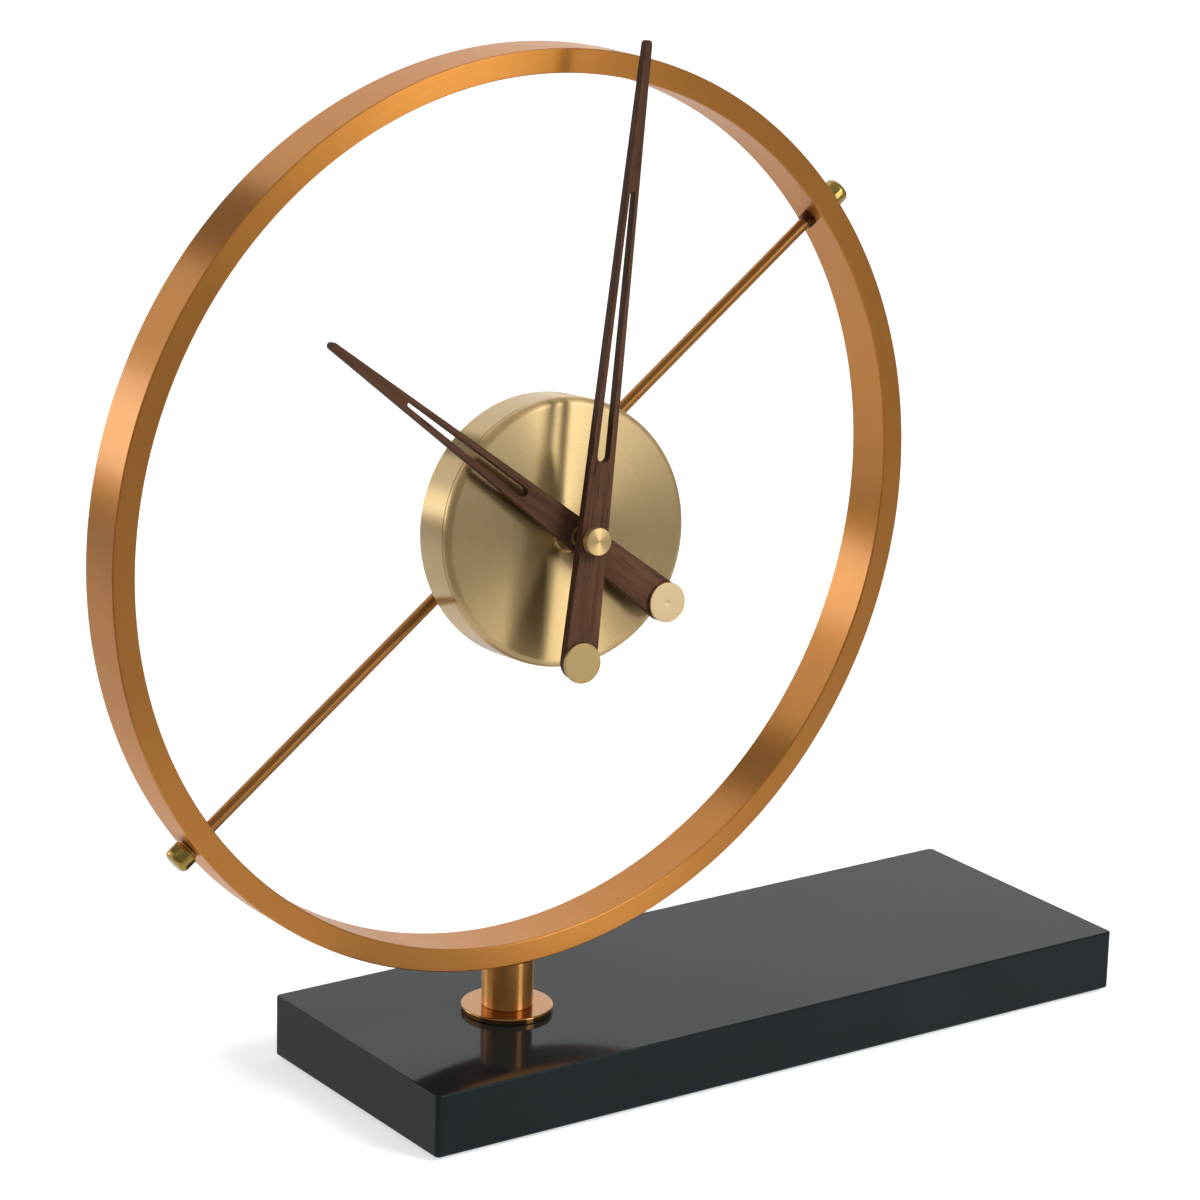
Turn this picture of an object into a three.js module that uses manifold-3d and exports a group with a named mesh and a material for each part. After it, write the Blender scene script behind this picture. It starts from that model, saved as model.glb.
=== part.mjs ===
// A table clock. An open copper ring stands near one end of a dark stone slab. A thin rod crosses the
// ring and carries a brass drum, and the quartz movement in the drum turns two slotted walnut hands. The
// drum leans back about the rod, so that its face looks a little up and to the left.
// The clock stands on z = 0 with +Z up, its slab's long side runs along X, and the hands face -Y.

import * as THREE from 'three';
import { mergeVertices } from 'three/addons/utils/BufferGeometryUtils.js';
import Module from 'manifold-3d';

const wasm = await Module();
wasm.setup();

// Fits, in millimetres like every size below
const SEAT_GAP = 0.25;
const RUNNING_GAP = 0.2;
const FUSE = 0.2;

// Stone slab with the felt sheet under it
const SLAB_LENGTH = 280;
const SLAB_WIDTH = 100;
const SLAB_THICK = 21;
const SLAB_EDGE = 1.2;
const SLAB_CORNER = 3;
const PAD_THICK = 1.2;
const PAD_INSET = 3;
const RING_FROM_END = 59;

// Post between slab and ring, with the fasteners that hold it
const POST_DIAMETER = 17;
const POST_EDGE = 0.4;
const FLANGE_DIAMETER = 30.5;
const FLANGE_THICK = 2.2;
const FLANGE_EDGE = 0.5;
const RING_LIFT = 18.8;
const BOLT_DIAMETER = 6;
const BOLT_HEAD_DIAMETER = 10;
const BOLT_HEAD_HEIGHT = 4;
const BOLT_KEY = 5;
const BOLT_KEY_DEPTH = 2.4;
const BOLT_GRIP = 7;
const WASHER_DIAMETER = 14;
const WASHER_THICK = 1.5;
const RECESS_ROOM = 2;
const STUD_DIAMETER = 5;
const STUD_GRIP = 4.5;

// Ring of flat bar, and the rod across it
const RING_DIAMETER = 300;
const RING_WALL = 7.8;
const RING_DEPTH = 17;
const RING_EDGE = 0.5;
const ROD_DIAMETER = 4;
const ROD_ANGLE = 37.2;
const ROD_EDGE = 0.4;
const ROD_NUT_DIAMETER = 8.6;
const ROD_NUT_LENGTH = 6.5;
const ROD_NUT_NECK = 0.8;
const ROD_NUT_ROUNDING = 1.8;
const ROD_GRIP = 4;
const COLLAR_DIAMETER = 6.2;
const COLLAR_LENGTH = 2.4;
const COLLAR_EDGE = 0.6;

// Spun drum, leaned back about the rod in degrees, and the strap and block that carry it on the rod
const DRUM_LEAN = 8.1;
const DRUM_DROP = 2.6;
const DRUM_DEPTH = 17.9;
const DRUM_WALL = 1;
const DRUM_FILLET = 2.5;
const DRUM_ROOM = 3.6;
const STRAP_STANDOFF = 5.6;
const STRAP_WIDTH = 10;
const STRAP_THICK = 2;
const STRAP_INSET = 2.7;
const LUG_LENGTH = 10;
const LUG_DEPTH = 4;
const BLOCK_LENGTH = 18;
const BLOCK_WIDTH = 12;
const BLOCK_CORNER = 1.5;
const BLOCK_COVER = 3;
const BRIDGE_SCREW_DIAMETER = 3;
const BRIDGE_SCREW_HEAD = 5.5;
const BRIDGE_SCREW_HEAD_HEIGHT = 1.8;
const SCREW_SLOT = 0.8;
const SCREW_SLOT_DEPTH = 0.8;
const SET_SCREW_DIAMETER = 3;
const SET_SCREW_KEY = 1.5;
const SET_SCREW_KEY_DEPTH = 1.5;

// Quartz movement: case, cell and contacts
const CASE_WALL = 1.5;
const CASE_CORNER = 3.5;
const CASE_SPLIT = 9;
const BAY_WALL = 1;
const CELL_DIAMETER = 14.3;
const CELL_LENGTH = 50.5;
const CELL_ROOM = 0.35;
const CELL_NUB_DIAMETER = 5.5;
const CELL_NUB_LENGTH = 1;
const CELL_EDGE = 0.8;
const CONTACT_ROOM = 1.25;
const CONTACT_THICK = 0.5;
const CONTACT_SIDE = 10;
const CONTACT_DIMPLE = 3;
const GASKET_DIAMETER = 19;
const GASKET_THICK = 0.8;
const BUSHING_DIAMETER = 8;
const BUSHING_FLANGE = 12;
const BUSHING_FLANGE_THICK = 0.6;
const DIAL_NUT_DIAMETER = 11.5;
const DIAL_NUT_THICK = 1.8;
const DIAL_NUT_EDGE = 0.4;
const NUT_STANDOUT = 2.5;

// Gear train: tooth counts, modules and layers
const CENTRE_TEETH = 48;
const THIRD_TEETH = 40;
const INTERMEDIATE_TEETH = 48;
const PINION_TEETH = 8;
const CANNON_TEETH = 12;
const MINUTE_TEETH = 36;
const MINUTE_PINION_TEETH = 10;
const HOUR_TEETH = 40;
const TRAIN_MODULE = 0.35;
const TOOTH_ADDENDUM = 0.9;
const TOOTH_DEDENDUM = 1.25;
const TOOTH_TIP_HALF = 0.09;
const TOOTH_ROOT_HALF = 0.25;
const TRAIN_ROOM = 1.8;
const TRAIN_GAP = 0.3;
const LAYER_PITCH = 1.6;
const WHEEL_THICK = 0.9;
const PINION_THICK = 1.3;
const ARBOR_DIAMETER = 1.2;
const PIVOT_DIAMETER = 0.8;
const PIVOT_LENGTH = 0.8;
const PILLAR_DIAMETER = 3;
const PLATE_THICK = 1;
const PLATE_MARGIN = 2.6;
const MINUTE_WHEEL_ANGLE = 120;
const THIRD_ANGLE = 20;
const INTERMEDIATE_ANGLE = 75;
const ROTOR_ANGLE = 160;
const MAGNET_LAYER = 5;
const PILLAR_ANGLES = [20, -35, 200];

// Step motor, circuit board and setting knob
const MAGNET_DIAMETER = 5.8;
const MAGNET_LENGTH = 1.6;
const STATOR_THICK = 0.8;
const STATOR_RIM = 2;
const STATOR_ARM = 4;
const COIL_DIAMETER = 6.2;
const COIL_LENGTH = 13;
const COIL_CORE_WIDTH = 3;
const BOBBIN_FLANGE = 0.8;
const BOSS_DIAMETER = 3.6;
const BOARD_WIDTH = 8.5;
const BOARD_MARGIN = 0.5;
const BOARD_THICK = 0.8;
const CHIP_SIDE = 4;
const CHIP_THICK = 1.2;
const CRYSTAL_DIAMETER = 2;
const CRYSTAL_LENGTH = 6;
const KNOB_DIAMETER = 12;
const KNOB_THICK = 2.4;
const KNOB_NOTCHES = 20;
const KNOB_NOTCH_DEPTH = 0.5;
const KNOB_CLEARANCE = 0.6;

// Shafts and hands
const MINUTE_SHAFT_DIAMETER = 3;
const HOUR_TUBE_WALL = 0.8;
const HAND_THICK = 3.2;
const HAND_EDGE = 0.25;
const HAND_GAP = 3.75;
const BUSH_WALL = 1;
const BUSH_FLANGE = 1.2;
const BUSH_FLANGE_THICK = 0.8;
const DISC_DIAMETER = 12.8;
const DISC_THICK = 1;
const DISC_EDGE = 0.25;
const CAP_DIAMETER = 8.8;
const CAP_HEIGHT = 2.8;
const CAP_EDGE = 0.3;
const CAP_ROOF = 1;
const MINUTE_HAND = {
  reach: 154.2, tipWidth: 2.3, tail: 38.3, tailWidth: 11.5,
  slotFar: 107.9, slotFarWidth: 1.8, slotNear: 24.2, slotNearWidth: 4.2, angle: 80.45,
};
const HOUR_HAND = {
  reach: 107.3, tipWidth: 2.4, tail: 38.2, tailWidth: 12.6,
  slotFar: 75.4, slotFarWidth: 1.5, slotNear: 24.3, slotNearWidth: 3.2, angle: 140.6,
};

// Roundness: sides of large, medium and small turned forms, and steps of a rounded edge or end
const RING_SIDES = 68;
const DRUM_SIDES = 44;
const TURNED_SIDES = 18;
const SMALL_SIDES = 12;
const ROUND_STEPS = 3;
const CORNER_STEPS = 3;
const END_STEPS = 5;

// Finishes
function finish(color, roughness, metalness) {
  return new THREE.MeshStandardMaterial({ color, roughness, metalness });
}
const STONE = finish(0x39424a, 0.25, 0);
const FELT = finish(0x202224, 0.95, 0);
const COPPER = finish(0xc17f3e, 0.32, 1);
const POLISHED_COPPER = finish(0xc98b52, 0.12, 1);
const BRASS = finish(0xcdb27a, 0.3, 1);
const NUT_BRASS = finish(0xb08f3c, 0.25, 1);
const WALNUT = finish(0x553a30, 0.6, 0);
const STEEL = finish(0xb4b6b8, 0.35, 1);
const DARK_STEEL = finish(0x4a3a30, 0.4, 1);
const BLACK_PLASTIC = finish(0x17181a, 0.5, 0);
const WHITE_PLASTIC = finish(0xe6e4dc, 0.45, 0);
const RUBBER = finish(0x151515, 0.85, 0);
const BOARD_GREEN = finish(0x2c5a3a, 0.5, 0);
const WINDING = finish(0xa8562b, 0.4, 0.6);
const CELL_JACKET = finish(0x8d9094, 0.35, 0.5);

// Turns a closed geometry into a solid that can be joined and cut
function toSolid(geometry) {
  const bare = geometry.clone();
  bare.deleteAttribute('normal');
  bare.deleteAttribute('uv');
  const merged = mergeVertices(bare);
  const index = merged.index.array;
  const triangles = [];
  for (let i = 0; i < index.length; i += 3) {
    const [a, b, c] = index.slice(i, i + 3);
    if (a !== b && b !== c && c !== a) triangles.push(a, b, c);
  }
  return new wasm.Manifold(new wasm.Mesh({
    numProp: 3,
    vertProperties: merged.attributes.position.array,
    triVerts: new Uint32Array(triangles),
  }));
}

function toGeometry(solid) {
  const mesh = solid.getMesh();
  const geometry = new THREE.BufferGeometry();
  geometry.setAttribute('position', new THREE.BufferAttribute(mesh.vertProperties, 3));
  geometry.setIndex(new THREE.BufferAttribute(mesh.triVerts, 1));
  const faceted = geometry.toNonIndexed();
  faceted.computeVertexNormals();
  return faceted;
}

function join(first, ...others) {
  return toGeometry(others.reduce((sum, other) => sum.add(toSolid(other)), toSolid(first)));
}

function cut(body, ...tools) {
  return toGeometry(tools.reduce((rest, tool) => rest.subtract(toSolid(tool)), toSolid(body)));
}

// A form turned about Z: the profile's [radius, height] points run outward, up and back in
function turned(profile, sides = TURNED_SIDES) {
  return new THREE.LatheGeometry(toVectors(profile), sides).rotateX(Math.PI / 2);
}

function turnedRing(profile, sides = TURNED_SIDES) {
  return turned([...profile, profile[0]], sides);
}

function cylinder(radius, low, high, sides = TURNED_SIDES) {
  return turned([[0, low], [radius, low], [radius, high], [0, high]], sides);
}

// A tube about Z whose outer edges are chamfered
function tube(inner, outer, low, high, edge = 0, sides = TURNED_SIDES) {
  const rim = edge > 0
    ? [[outer - edge, low], [outer, low + edge], [outer, high - edge], [outer - edge, high]]
    : [[outer, low], [outer, high]];
  return turnedRing([[inner, low], ...rim, [inner, high]], sides);
}

// Points along an arc, from one angle to another in degrees
function arcPoints(x, y, radius, from, to, steps) {
  const points = [];
  for (let step = 0; step <= steps; step++) {
    const angle = THREE.MathUtils.degToRad(from + (to - from) * step / steps);
    points.push([x + radius * Math.cos(angle), y + radius * Math.sin(angle)]);
  }
  return points;
}

function toVectors(points) {
  return points.map(([x, y]) => new THREE.Vector2(x, y));
}

function extruded(shape, low, high, edge = 0) {
  return new THREE.ExtrudeGeometry(shape, {
    depth: high - low - 2 * edge,
    bevelEnabled: edge > 0,
    bevelThickness: edge,
    bevelSize: edge,
    bevelOffset: -edge,
    bevelSegments: 1,
  }).translate(0, 0, low + edge);
}

function box(left, right, bottom, top, low, high) {
  const geometry = new THREE.BoxGeometry(right - left, top - bottom, high - low);
  return geometry.translate((left + right) / 2, (bottom + top) / 2, (low + high) / 2);
}

function roundedRectangle(left, right, bottom, top, corner) {
  return new THREE.Shape(toVectors([
    ...arcPoints(right - corner, top - corner, corner, 0, 90, CORNER_STEPS),
    ...arcPoints(left + corner, top - corner, corner, 90, 180, CORNER_STEPS),
    ...arcPoints(left + corner, bottom + corner, corner, 180, 270, CORNER_STEPS),
    ...arcPoints(right - corner, bottom + corner, corner, 270, 360, CORNER_STEPS),
  ]));
}

function circle(x, y, radius, sides = SMALL_SIDES) {
  return new THREE.Path(toVectors(arcPoints(x, y, radius, 360, 0, sides)));
}

function polar(centre, distance, degrees) {
  const angle = THREE.MathUtils.degToRad(degrees);
  return { x: centre.x + distance * Math.cos(angle), y: centre.y + distance * Math.sin(angle) };
}

function addMesh(group, name, geometry, material) {
  const mesh = new THREE.Mesh(geometry, material);
  mesh.name = name;
  group.add(mesh);
  return mesh;
}

// A prism with a hexagon's sides, for a key socket
function hexagon(acrossFlats, low, high) {
  return cylinder(acrossFlats / Math.sqrt(3), low, high, 6);
}

const clock = new THREE.Group();

// Slab, felt sheet, post and fasteners
const ringX = RING_FROM_END - SLAB_LENGTH / 2;
const ringRadius = RING_DIAMETER / 2;
const slabTop = PAD_THICK + SLAB_THICK;
const postLow = slabTop + FLANGE_THICK;
const postHigh = slabTop + RING_LIFT - SEAT_GAP;
const boltRadius = BOLT_DIAMETER / 2;
const studRadius = STUD_DIAMETER / 2;
const recessRadius = WASHER_DIAMETER / 2 + RECESS_ROOM;
const washerLow = PAD_THICK + SEAT_GAP + BOLT_HEAD_HEIGHT + RECESS_ROOM;
const washerHigh = washerLow + WASHER_THICK;

const base = new THREE.Group();
const stand = new THREE.Group();
stand.position.x = ringX;
clock.add(base, stand);

const padOutline = roundedRectangle(
  PAD_INSET - SLAB_LENGTH / 2, SLAB_LENGTH / 2 - PAD_INSET,
  PAD_INSET - SLAB_WIDTH / 2, SLAB_WIDTH / 2 - PAD_INSET, SLAB_CORNER,
);
addMesh(base, 'base_pad', extruded(padOutline, 0, PAD_THICK), FELT);

const slabOutline = roundedRectangle(
  -SLAB_LENGTH / 2, SLAB_LENGTH / 2, -SLAB_WIDTH / 2, SLAB_WIDTH / 2, SLAB_CORNER,
);
const boltPassage = cylinder(boltRadius + RUNNING_GAP, 0, slabTop + FUSE).translate(ringX, 0, 0);
const boltRecess = cylinder(recessRadius, 0, washerHigh).translate(ringX, 0, 0);
const slab = cut(extruded(slabOutline, PAD_THICK, slabTop, SLAB_EDGE), boltPassage, boltRecess);
addMesh(base, 'base_slab', slab, STONE);

const flangeHole = boltRadius + RUNNING_GAP;
const flange = tube(flangeHole, FLANGE_DIAMETER / 2, slabTop, postLow, FLANGE_EDGE);
addMesh(stand, 'post_flange', flange, POLISHED_COPPER);

const postRadius = POST_DIAMETER / 2;
const boltTop = postLow + BOLT_GRIP;
const studLow = postHigh - STUD_GRIP;
const post = turned([
  [0, boltTop + SEAT_GAP],
  [boltRadius + RUNNING_GAP, boltTop + SEAT_GAP],
  [boltRadius + RUNNING_GAP, postLow],
  [postRadius - POST_EDGE, postLow],
  [postRadius, postLow + POST_EDGE],
  [postRadius, postHigh - POST_EDGE],
  [postRadius - POST_EDGE, postHigh],
  [studRadius + RUNNING_GAP, postHigh],
  [studRadius + RUNNING_GAP, studLow],
  [0, studLow],
]);
addMesh(stand, 'post', post, POLISHED_COPPER);

const washer = tube(flangeHole, WASHER_DIAMETER / 2, washerLow, washerHigh, 0, SMALL_SIDES);
addMesh(stand, 'base_washer', washer, STEEL);

const headLow = washerLow - BOLT_HEAD_HEIGHT;
const boltBody = turned([
  [0, headLow],
  [BOLT_HEAD_DIAMETER / 2, headLow],
  [BOLT_HEAD_DIAMETER / 2, washerLow],
  [boltRadius, washerLow],
  [boltRadius, boltTop],
  [0, boltTop],
], SMALL_SIDES);
const boltSocket = hexagon(BOLT_KEY, headLow - FUSE, headLow + BOLT_KEY_DEPTH);
addMesh(stand, 'base_bolt', cut(boltBody, boltSocket), STEEL);

const studHigh = postHigh + SEAT_GAP + STUD_GRIP;
addMesh(stand, 'ring_stud', cylinder(studRadius, studLow + SEAT_GAP, studHigh, SMALL_SIDES), STEEL);

// The dial's frame: x to the right, y up and z towards the reader, centred in the ring
const dial = new THREE.Group();
dial.position.set(ringX, 0, slabTop + RING_LIFT + ringRadius);
dial.rotation.x = Math.PI / 2;
clock.add(dial);

// The rod's frame: as the dial's, turned so that x runs along the rod
const across = new THREE.Group();
across.rotation.z = THREE.MathUtils.degToRad(ROD_ANGLE);
dial.add(across);

// The works' frame: as the rod's, leaned back about the rod and dropped below it to the drum's axis
const leaning = new THREE.Group();
leaning.rotation.x = -THREE.MathUtils.degToRad(DRUM_LEAN);
across.add(leaning);
const works = new THREE.Group();
works.position.y = -DRUM_DROP;
leaning.add(works);

// The face's frame: as the works', turned back so that y runs up the dial
const face = new THREE.Group();
face.rotation.z = -across.rotation.z;
works.add(face);

// Ring with its holes for the rod and the stud
const ringInner = ringRadius - RING_WALL;
const ringHalf = RING_DEPTH / 2;
const rodRadius = ROD_DIAMETER / 2;
const rodHole = rodRadius + RUNNING_GAP;
const ringBar = turnedRing([
  [ringInner + RING_EDGE, -ringHalf],
  [ringRadius - RING_EDGE, -ringHalf],
  [ringRadius, RING_EDGE - ringHalf],
  [ringRadius, ringHalf - RING_EDGE],
  [ringRadius - RING_EDGE, ringHalf],
  [ringInner + RING_EDGE, ringHalf],
  [ringInner, ringHalf - RING_EDGE],
  [ringInner, RING_EDGE - ringHalf],
], RING_SIDES);
const rodPassage = cylinder(rodHole, -RING_DIAMETER, RING_DIAMETER, SMALL_SIDES)
  .rotateY(Math.PI / 2)
  .rotateZ(across.rotation.z);
const studPassage = cylinder(
  studRadius + RUNNING_GAP, ringRadius - STUD_GRIP - SEAT_GAP, ringRadius + FUSE, SMALL_SIDES,
).rotateX(Math.PI / 2);
addMesh(dial, 'ring', cut(ringBar, rodPassage, studPassage), COPPER);

// Rod, with a round nut outside the ring and a collar inside it at each end
const rodReach = ringRadius + SEAT_GAP + ROD_GRIP;
const rod = turned([
  [0, -rodReach],
  [rodRadius - ROD_EDGE, -rodReach],
  [rodRadius, ROD_EDGE - rodReach],
  [rodRadius, rodReach - ROD_EDGE],
  [rodRadius - ROD_EDGE, rodReach],
  [0, rodReach],
]).rotateY(Math.PI / 2);
addMesh(across, 'cross_rod', rod, POLISHED_COPPER);

const nutRadius = ROD_NUT_DIAMETER / 2;
const nutShoulder = nutRadius - ROD_NUT_ROUNDING;
const rodNut = turned([
  [0, ROD_GRIP + SEAT_GAP],
  [rodHole, ROD_GRIP + SEAT_GAP],
  [rodHole, 0],
  [nutRadius - ROD_NUT_NECK, 0],
  [nutRadius - ROD_NUT_NECK, ROD_NUT_NECK],
  [nutRadius, ROD_NUT_NECK],
  ...arcPoints(nutShoulder, ROD_NUT_LENGTH - ROD_NUT_ROUNDING, ROD_NUT_ROUNDING, 0, 90, ROUND_STEPS),
  [0, ROD_NUT_LENGTH],
]);
const collar = tube(rodHole, COLLAR_DIAMETER / 2, 0, COLLAR_LENGTH, COLLAR_EDGE);
for (const [end, side] of [['lower', -1], ['upper', 1]]) {
  const nut = addMesh(across, `rod_nut_${end}`, rodNut, NUT_BRASS);
  nut.position.x = side * (ringRadius + SEAT_GAP);
  nut.rotation.y = side * Math.PI / 2;
  const inner = addMesh(across, `rod_collar_${end}`, collar, DARK_STEEL);
  inner.position.x = side * (ringInner - SEAT_GAP);
  inner.rotation.y = -side * Math.PI / 2;
}

// Sizes of the movement's case: room for the train above the cell, and for the cell and its contacts
function tipRadius(teeth, module) {
  return teeth * module / 2 + TOOTH_ADDENDUM * module;
}
const trainHalf = tipRadius(CENTRE_TEETH, TRAIN_MODULE) + TRAIN_ROOM;
const caseHalf = Math.max(
  CELL_LENGTH / 2 + CONTACT_ROOM + CASE_WALL,
  trainHalf + BAY_WALL + 2 * CELL_ROOM + CELL_DIAMETER + CASE_WALL,
);
const caseInner = caseHalf - CASE_WALL;
const firstLayer = CASE_WALL + BUSHING_FLANGE_THICK + 3 * SEAT_GAP;
const magnetFront = firstLayer + MAGNET_LAYER * LAYER_PITCH;
const plateFront = magnetFront + MAGNET_LENGTH + 2 * SEAT_GAP;
const caseDepth = Math.max(
  CASE_WALL + CELL_DIAMETER + 2 * CELL_ROOM,
  plateFront + PLATE_THICK + SEAT_GAP + CASE_WALL,
);

// Depths along the drum's axis, from the strap behind the movement to the hand cap
const strapBack = STRAP_STANDOFF;
const strapFront = strapBack + STRAP_THICK;
const caseBack = strapFront + KNOB_CLEARANCE + KNOB_THICK + SEAT_GAP;
const caseFront = caseBack + caseDepth;
const drumInside = caseFront + GASKET_THICK + 2 * SEAT_GAP;
const drumFront = drumInside + DRUM_WALL;
const drumBack = drumFront - DRUM_DEPTH;
const dialNutBack = drumFront + SEAT_GAP;
const dialNutFront = dialNutBack + DIAL_NUT_THICK;
const bushingFront = dialNutFront + NUT_STANDOUT;
const hourBushBack = bushingFront + SEAT_GAP;
const hourBack = hourBushBack + BUSH_FLANGE_THICK + SEAT_GAP;
const hourFront = hourBack + HAND_THICK;
const minuteBushBack = hourFront + HAND_GAP;
const minuteBack = minuteBushBack + BUSH_FLANGE_THICK + SEAT_GAP;
const minuteFront = minuteBack + HAND_THICK;
const capBack = minuteFront + SEAT_GAP;
const capFront = capBack + CAP_HEIGHT;

// Radii of the shafts and of what they run in
const minuteRadius = MINUTE_SHAFT_DIAMETER / 2;
const hourBore = minuteRadius + RUNNING_GAP;
const hourRadius = hourBore + HOUR_TUBE_WALL;
const bushingBore = hourRadius + RUNNING_GAP;
const bushingRadius = BUSHING_DIAMETER / 2;
const bushingHole = bushingRadius + RUNNING_GAP;

// Drum with a rounded front edge, and two lugs inside its rim in line with the rod
const caseCornerReach = (caseHalf - CASE_CORNER) * Math.SQRT2 + CASE_CORNER;
const drumInner = caseCornerReach + DRUM_ROOM;
const drumRadius = drumInner + DRUM_WALL;
const insideFillet = DRUM_FILLET - DRUM_WALL;
const drumShell = turnedRing([
  [drumInner, drumBack],
  [drumRadius, drumBack],
  ...arcPoints(drumRadius - DRUM_FILLET, drumFront - DRUM_FILLET, DRUM_FILLET, 0, 90, ROUND_STEPS),
  [bushingHole, drumFront],
  [bushingHole, drumInside],
  [drumInner - insideFillet, drumInside],
  [drumInner, drumInside - insideFillet],
], DRUM_SIDES);
const strapHalf = STRAP_WIDTH / 2;
const strapReach = drumInner - STRAP_INSET;
const lugInner = drumInner - LUG_LENGTH;
const lugCentre = (lugInner + strapReach) / 2;
const lugLow = drumBack + SEAT_GAP;
const lugHigh = lugLow + LUG_DEPTH;
const screwHole = BRIDGE_SCREW_DIAMETER / 2 + RUNNING_GAP;
function lug(turn) {
  const solid = box(lugInner, drumInner + DRUM_WALL / 2, -strapHalf, strapHalf, lugLow, lugHigh);
  const bore = cylinder(screwHole, lugLow - FUSE, lugHigh + FUSE, SMALL_SIDES).translate(lugCentre, 0, 0);
  return cut(solid, bore).rotateZ(turn);
}
addMesh(works, 'drum', join(drumShell, lug(0), lug(Math.PI)), BRASS);

// Bridge: a strap behind the movement with a foot at each end that meets the drum's lug, fused to a block
// that is bored for the rod
function foot(turn) {
  const solid = box(lugInner, strapReach, -strapHalf, strapHalf, strapFront - FUSE, lugLow - SEAT_GAP);
  return solid.rotateZ(turn);
}
function screwPassage(at) {
  return cylinder(screwHole, strapBack - FUSE, lugLow, SMALL_SIDES).translate(at, 0, 0);
}
const blockOutline = roundedRectangle(
  -BLOCK_LENGTH / 2, BLOCK_LENGTH / 2,
  DRUM_DROP - BLOCK_WIDTH / 2, DRUM_DROP + BLOCK_WIDTH / 2, BLOCK_CORNER,
);
const blockBack = -rodRadius - BLOCK_COVER;
const setScrewRadius = SET_SCREW_DIAMETER / 2;
const bridge = cut(
  join(
    box(-strapReach, strapReach, -strapHalf, strapHalf, strapBack, strapFront), foot(0), foot(Math.PI),
    extruded(blockOutline, blockBack, strapBack + FUSE),
  ),
  screwPassage(lugCentre), screwPassage(-lugCentre),
  cylinder(rodHole, -BLOCK_LENGTH, BLOCK_LENGTH, SMALL_SIDES)
    .rotateY(Math.PI / 2)
    .translate(0, DRUM_DROP, 0),
  cylinder(setScrewRadius + RUNNING_GAP, blockBack - FUSE, 0, SMALL_SIDES).translate(0, DRUM_DROP, 0),
);
addMesh(works, 'rod_bridge', bridge, BRASS);

const setScrew = cut(
  cylinder(setScrewRadius, blockBack, -rodRadius - SEAT_GAP, SMALL_SIDES),
  hexagon(SET_SCREW_KEY, blockBack - FUSE, blockBack + SET_SCREW_KEY_DEPTH),
);
addMesh(works, 'rod_set_screw', setScrew, STEEL).position.y = DRUM_DROP;

const screwHeadFace = strapBack - SEAT_GAP;
const screwHeadTop = screwHeadFace - BRIDGE_SCREW_HEAD_HEIGHT;
const bridgeScrewHead = BRIDGE_SCREW_HEAD / 2;
const bridgeScrew = cut(
  turned([
    [0, screwHeadTop],
    [bridgeScrewHead, screwHeadTop],
    [bridgeScrewHead, screwHeadFace],
    [BRIDGE_SCREW_DIAMETER / 2, screwHeadFace],
    [BRIDGE_SCREW_DIAMETER / 2, lugHigh],
    [0, lugHigh],
  ], SMALL_SIDES),
  box(
    -bridgeScrewHead, bridgeScrewHead, -SCREW_SLOT / 2, SCREW_SLOT / 2,
    screwHeadTop - FUSE, screwHeadTop + SCREW_SLOT_DEPTH,
  ),
);
for (const [end, side] of [['lower', -1], ['upper', 1]]) {
  addMesh(works, `bridge_screw_${end}`, bridgeScrew, STEEL).position.x = side * lugCentre;
}

// A depth measured from the front of the movement's case towards the back of the clock
function behind(depth) {
  return caseFront - depth;
}

function layerFront(layer) {
  return firstLayer + layer * LAYER_PITCH;
}

// Modules and places of the arbors in the works' frame, worked out from the teeth in mesh. The wheels
// that run beside another wheel's arbor are as large as that arbor lets them be.
function meshDistance(teeth, pinionTeeth, module) {
  return (teeth + pinionTeeth) * module / 2;
}
const arborRadius = ARBOR_DIAMETER / 2;
const pivotRadius = PIVOT_DIAMETER / 2;
const knobShaftRadius = ARBOR_DIAMETER;
const trainDistance = meshDistance(CENTRE_TEETH, PINION_TEETH, TRAIN_MODULE);
const thirdDistance = meshDistance(THIRD_TEETH, PINION_TEETH, TRAIN_MODULE);
const motorTip = thirdDistance - arborRadius - TRAIN_GAP;
const motorModule = motorTip / (INTERMEDIATE_TEETH / 2 + TOOTH_ADDENDUM);
const motorDistance = meshDistance(INTERMEDIATE_TEETH, PINION_TEETH, motorModule);
const hourDistance = tipRadius(CENTRE_TEETH, TRAIN_MODULE) + knobShaftRadius + TRAIN_GAP;
const hourModule = 2 * hourDistance / (HOUR_TEETH + MINUTE_PINION_TEETH);
const minuteModule = 2 * hourDistance / (MINUTE_TEETH + CANNON_TEETH);
const centre = { x: 0, y: 0 };
const minuteWheelAt = polar(centre, hourDistance, MINUTE_WHEEL_ANGLE);
const thirdAt = polar(centre, trainDistance, THIRD_ANGLE);
const intermediateAt = polar(thirdAt, thirdDistance, INTERMEDIATE_ANGLE);
const rotorAt = polar(intermediateAt, motorDistance, ROTOR_ANGLE);

// Pillars that carry the train plate, each just outside one wheel
const pillarRadius = PILLAR_DIAMETER / 2;
const pillarRoom = pillarRadius + TRAIN_ROOM / 2;
const pillars = [
  polar(intermediateAt, motorTip + pillarRoom, PILLAR_ANGLES[0]),
  polar(thirdAt, tipRadius(THIRD_TEETH, TRAIN_MODULE) + pillarRoom, PILLAR_ANGLES[1]),
  polar(minuteWheelAt, tipRadius(MINUTE_TEETH, minuteModule) + pillarRoom, PILLAR_ANGLES[2]),
];

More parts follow.
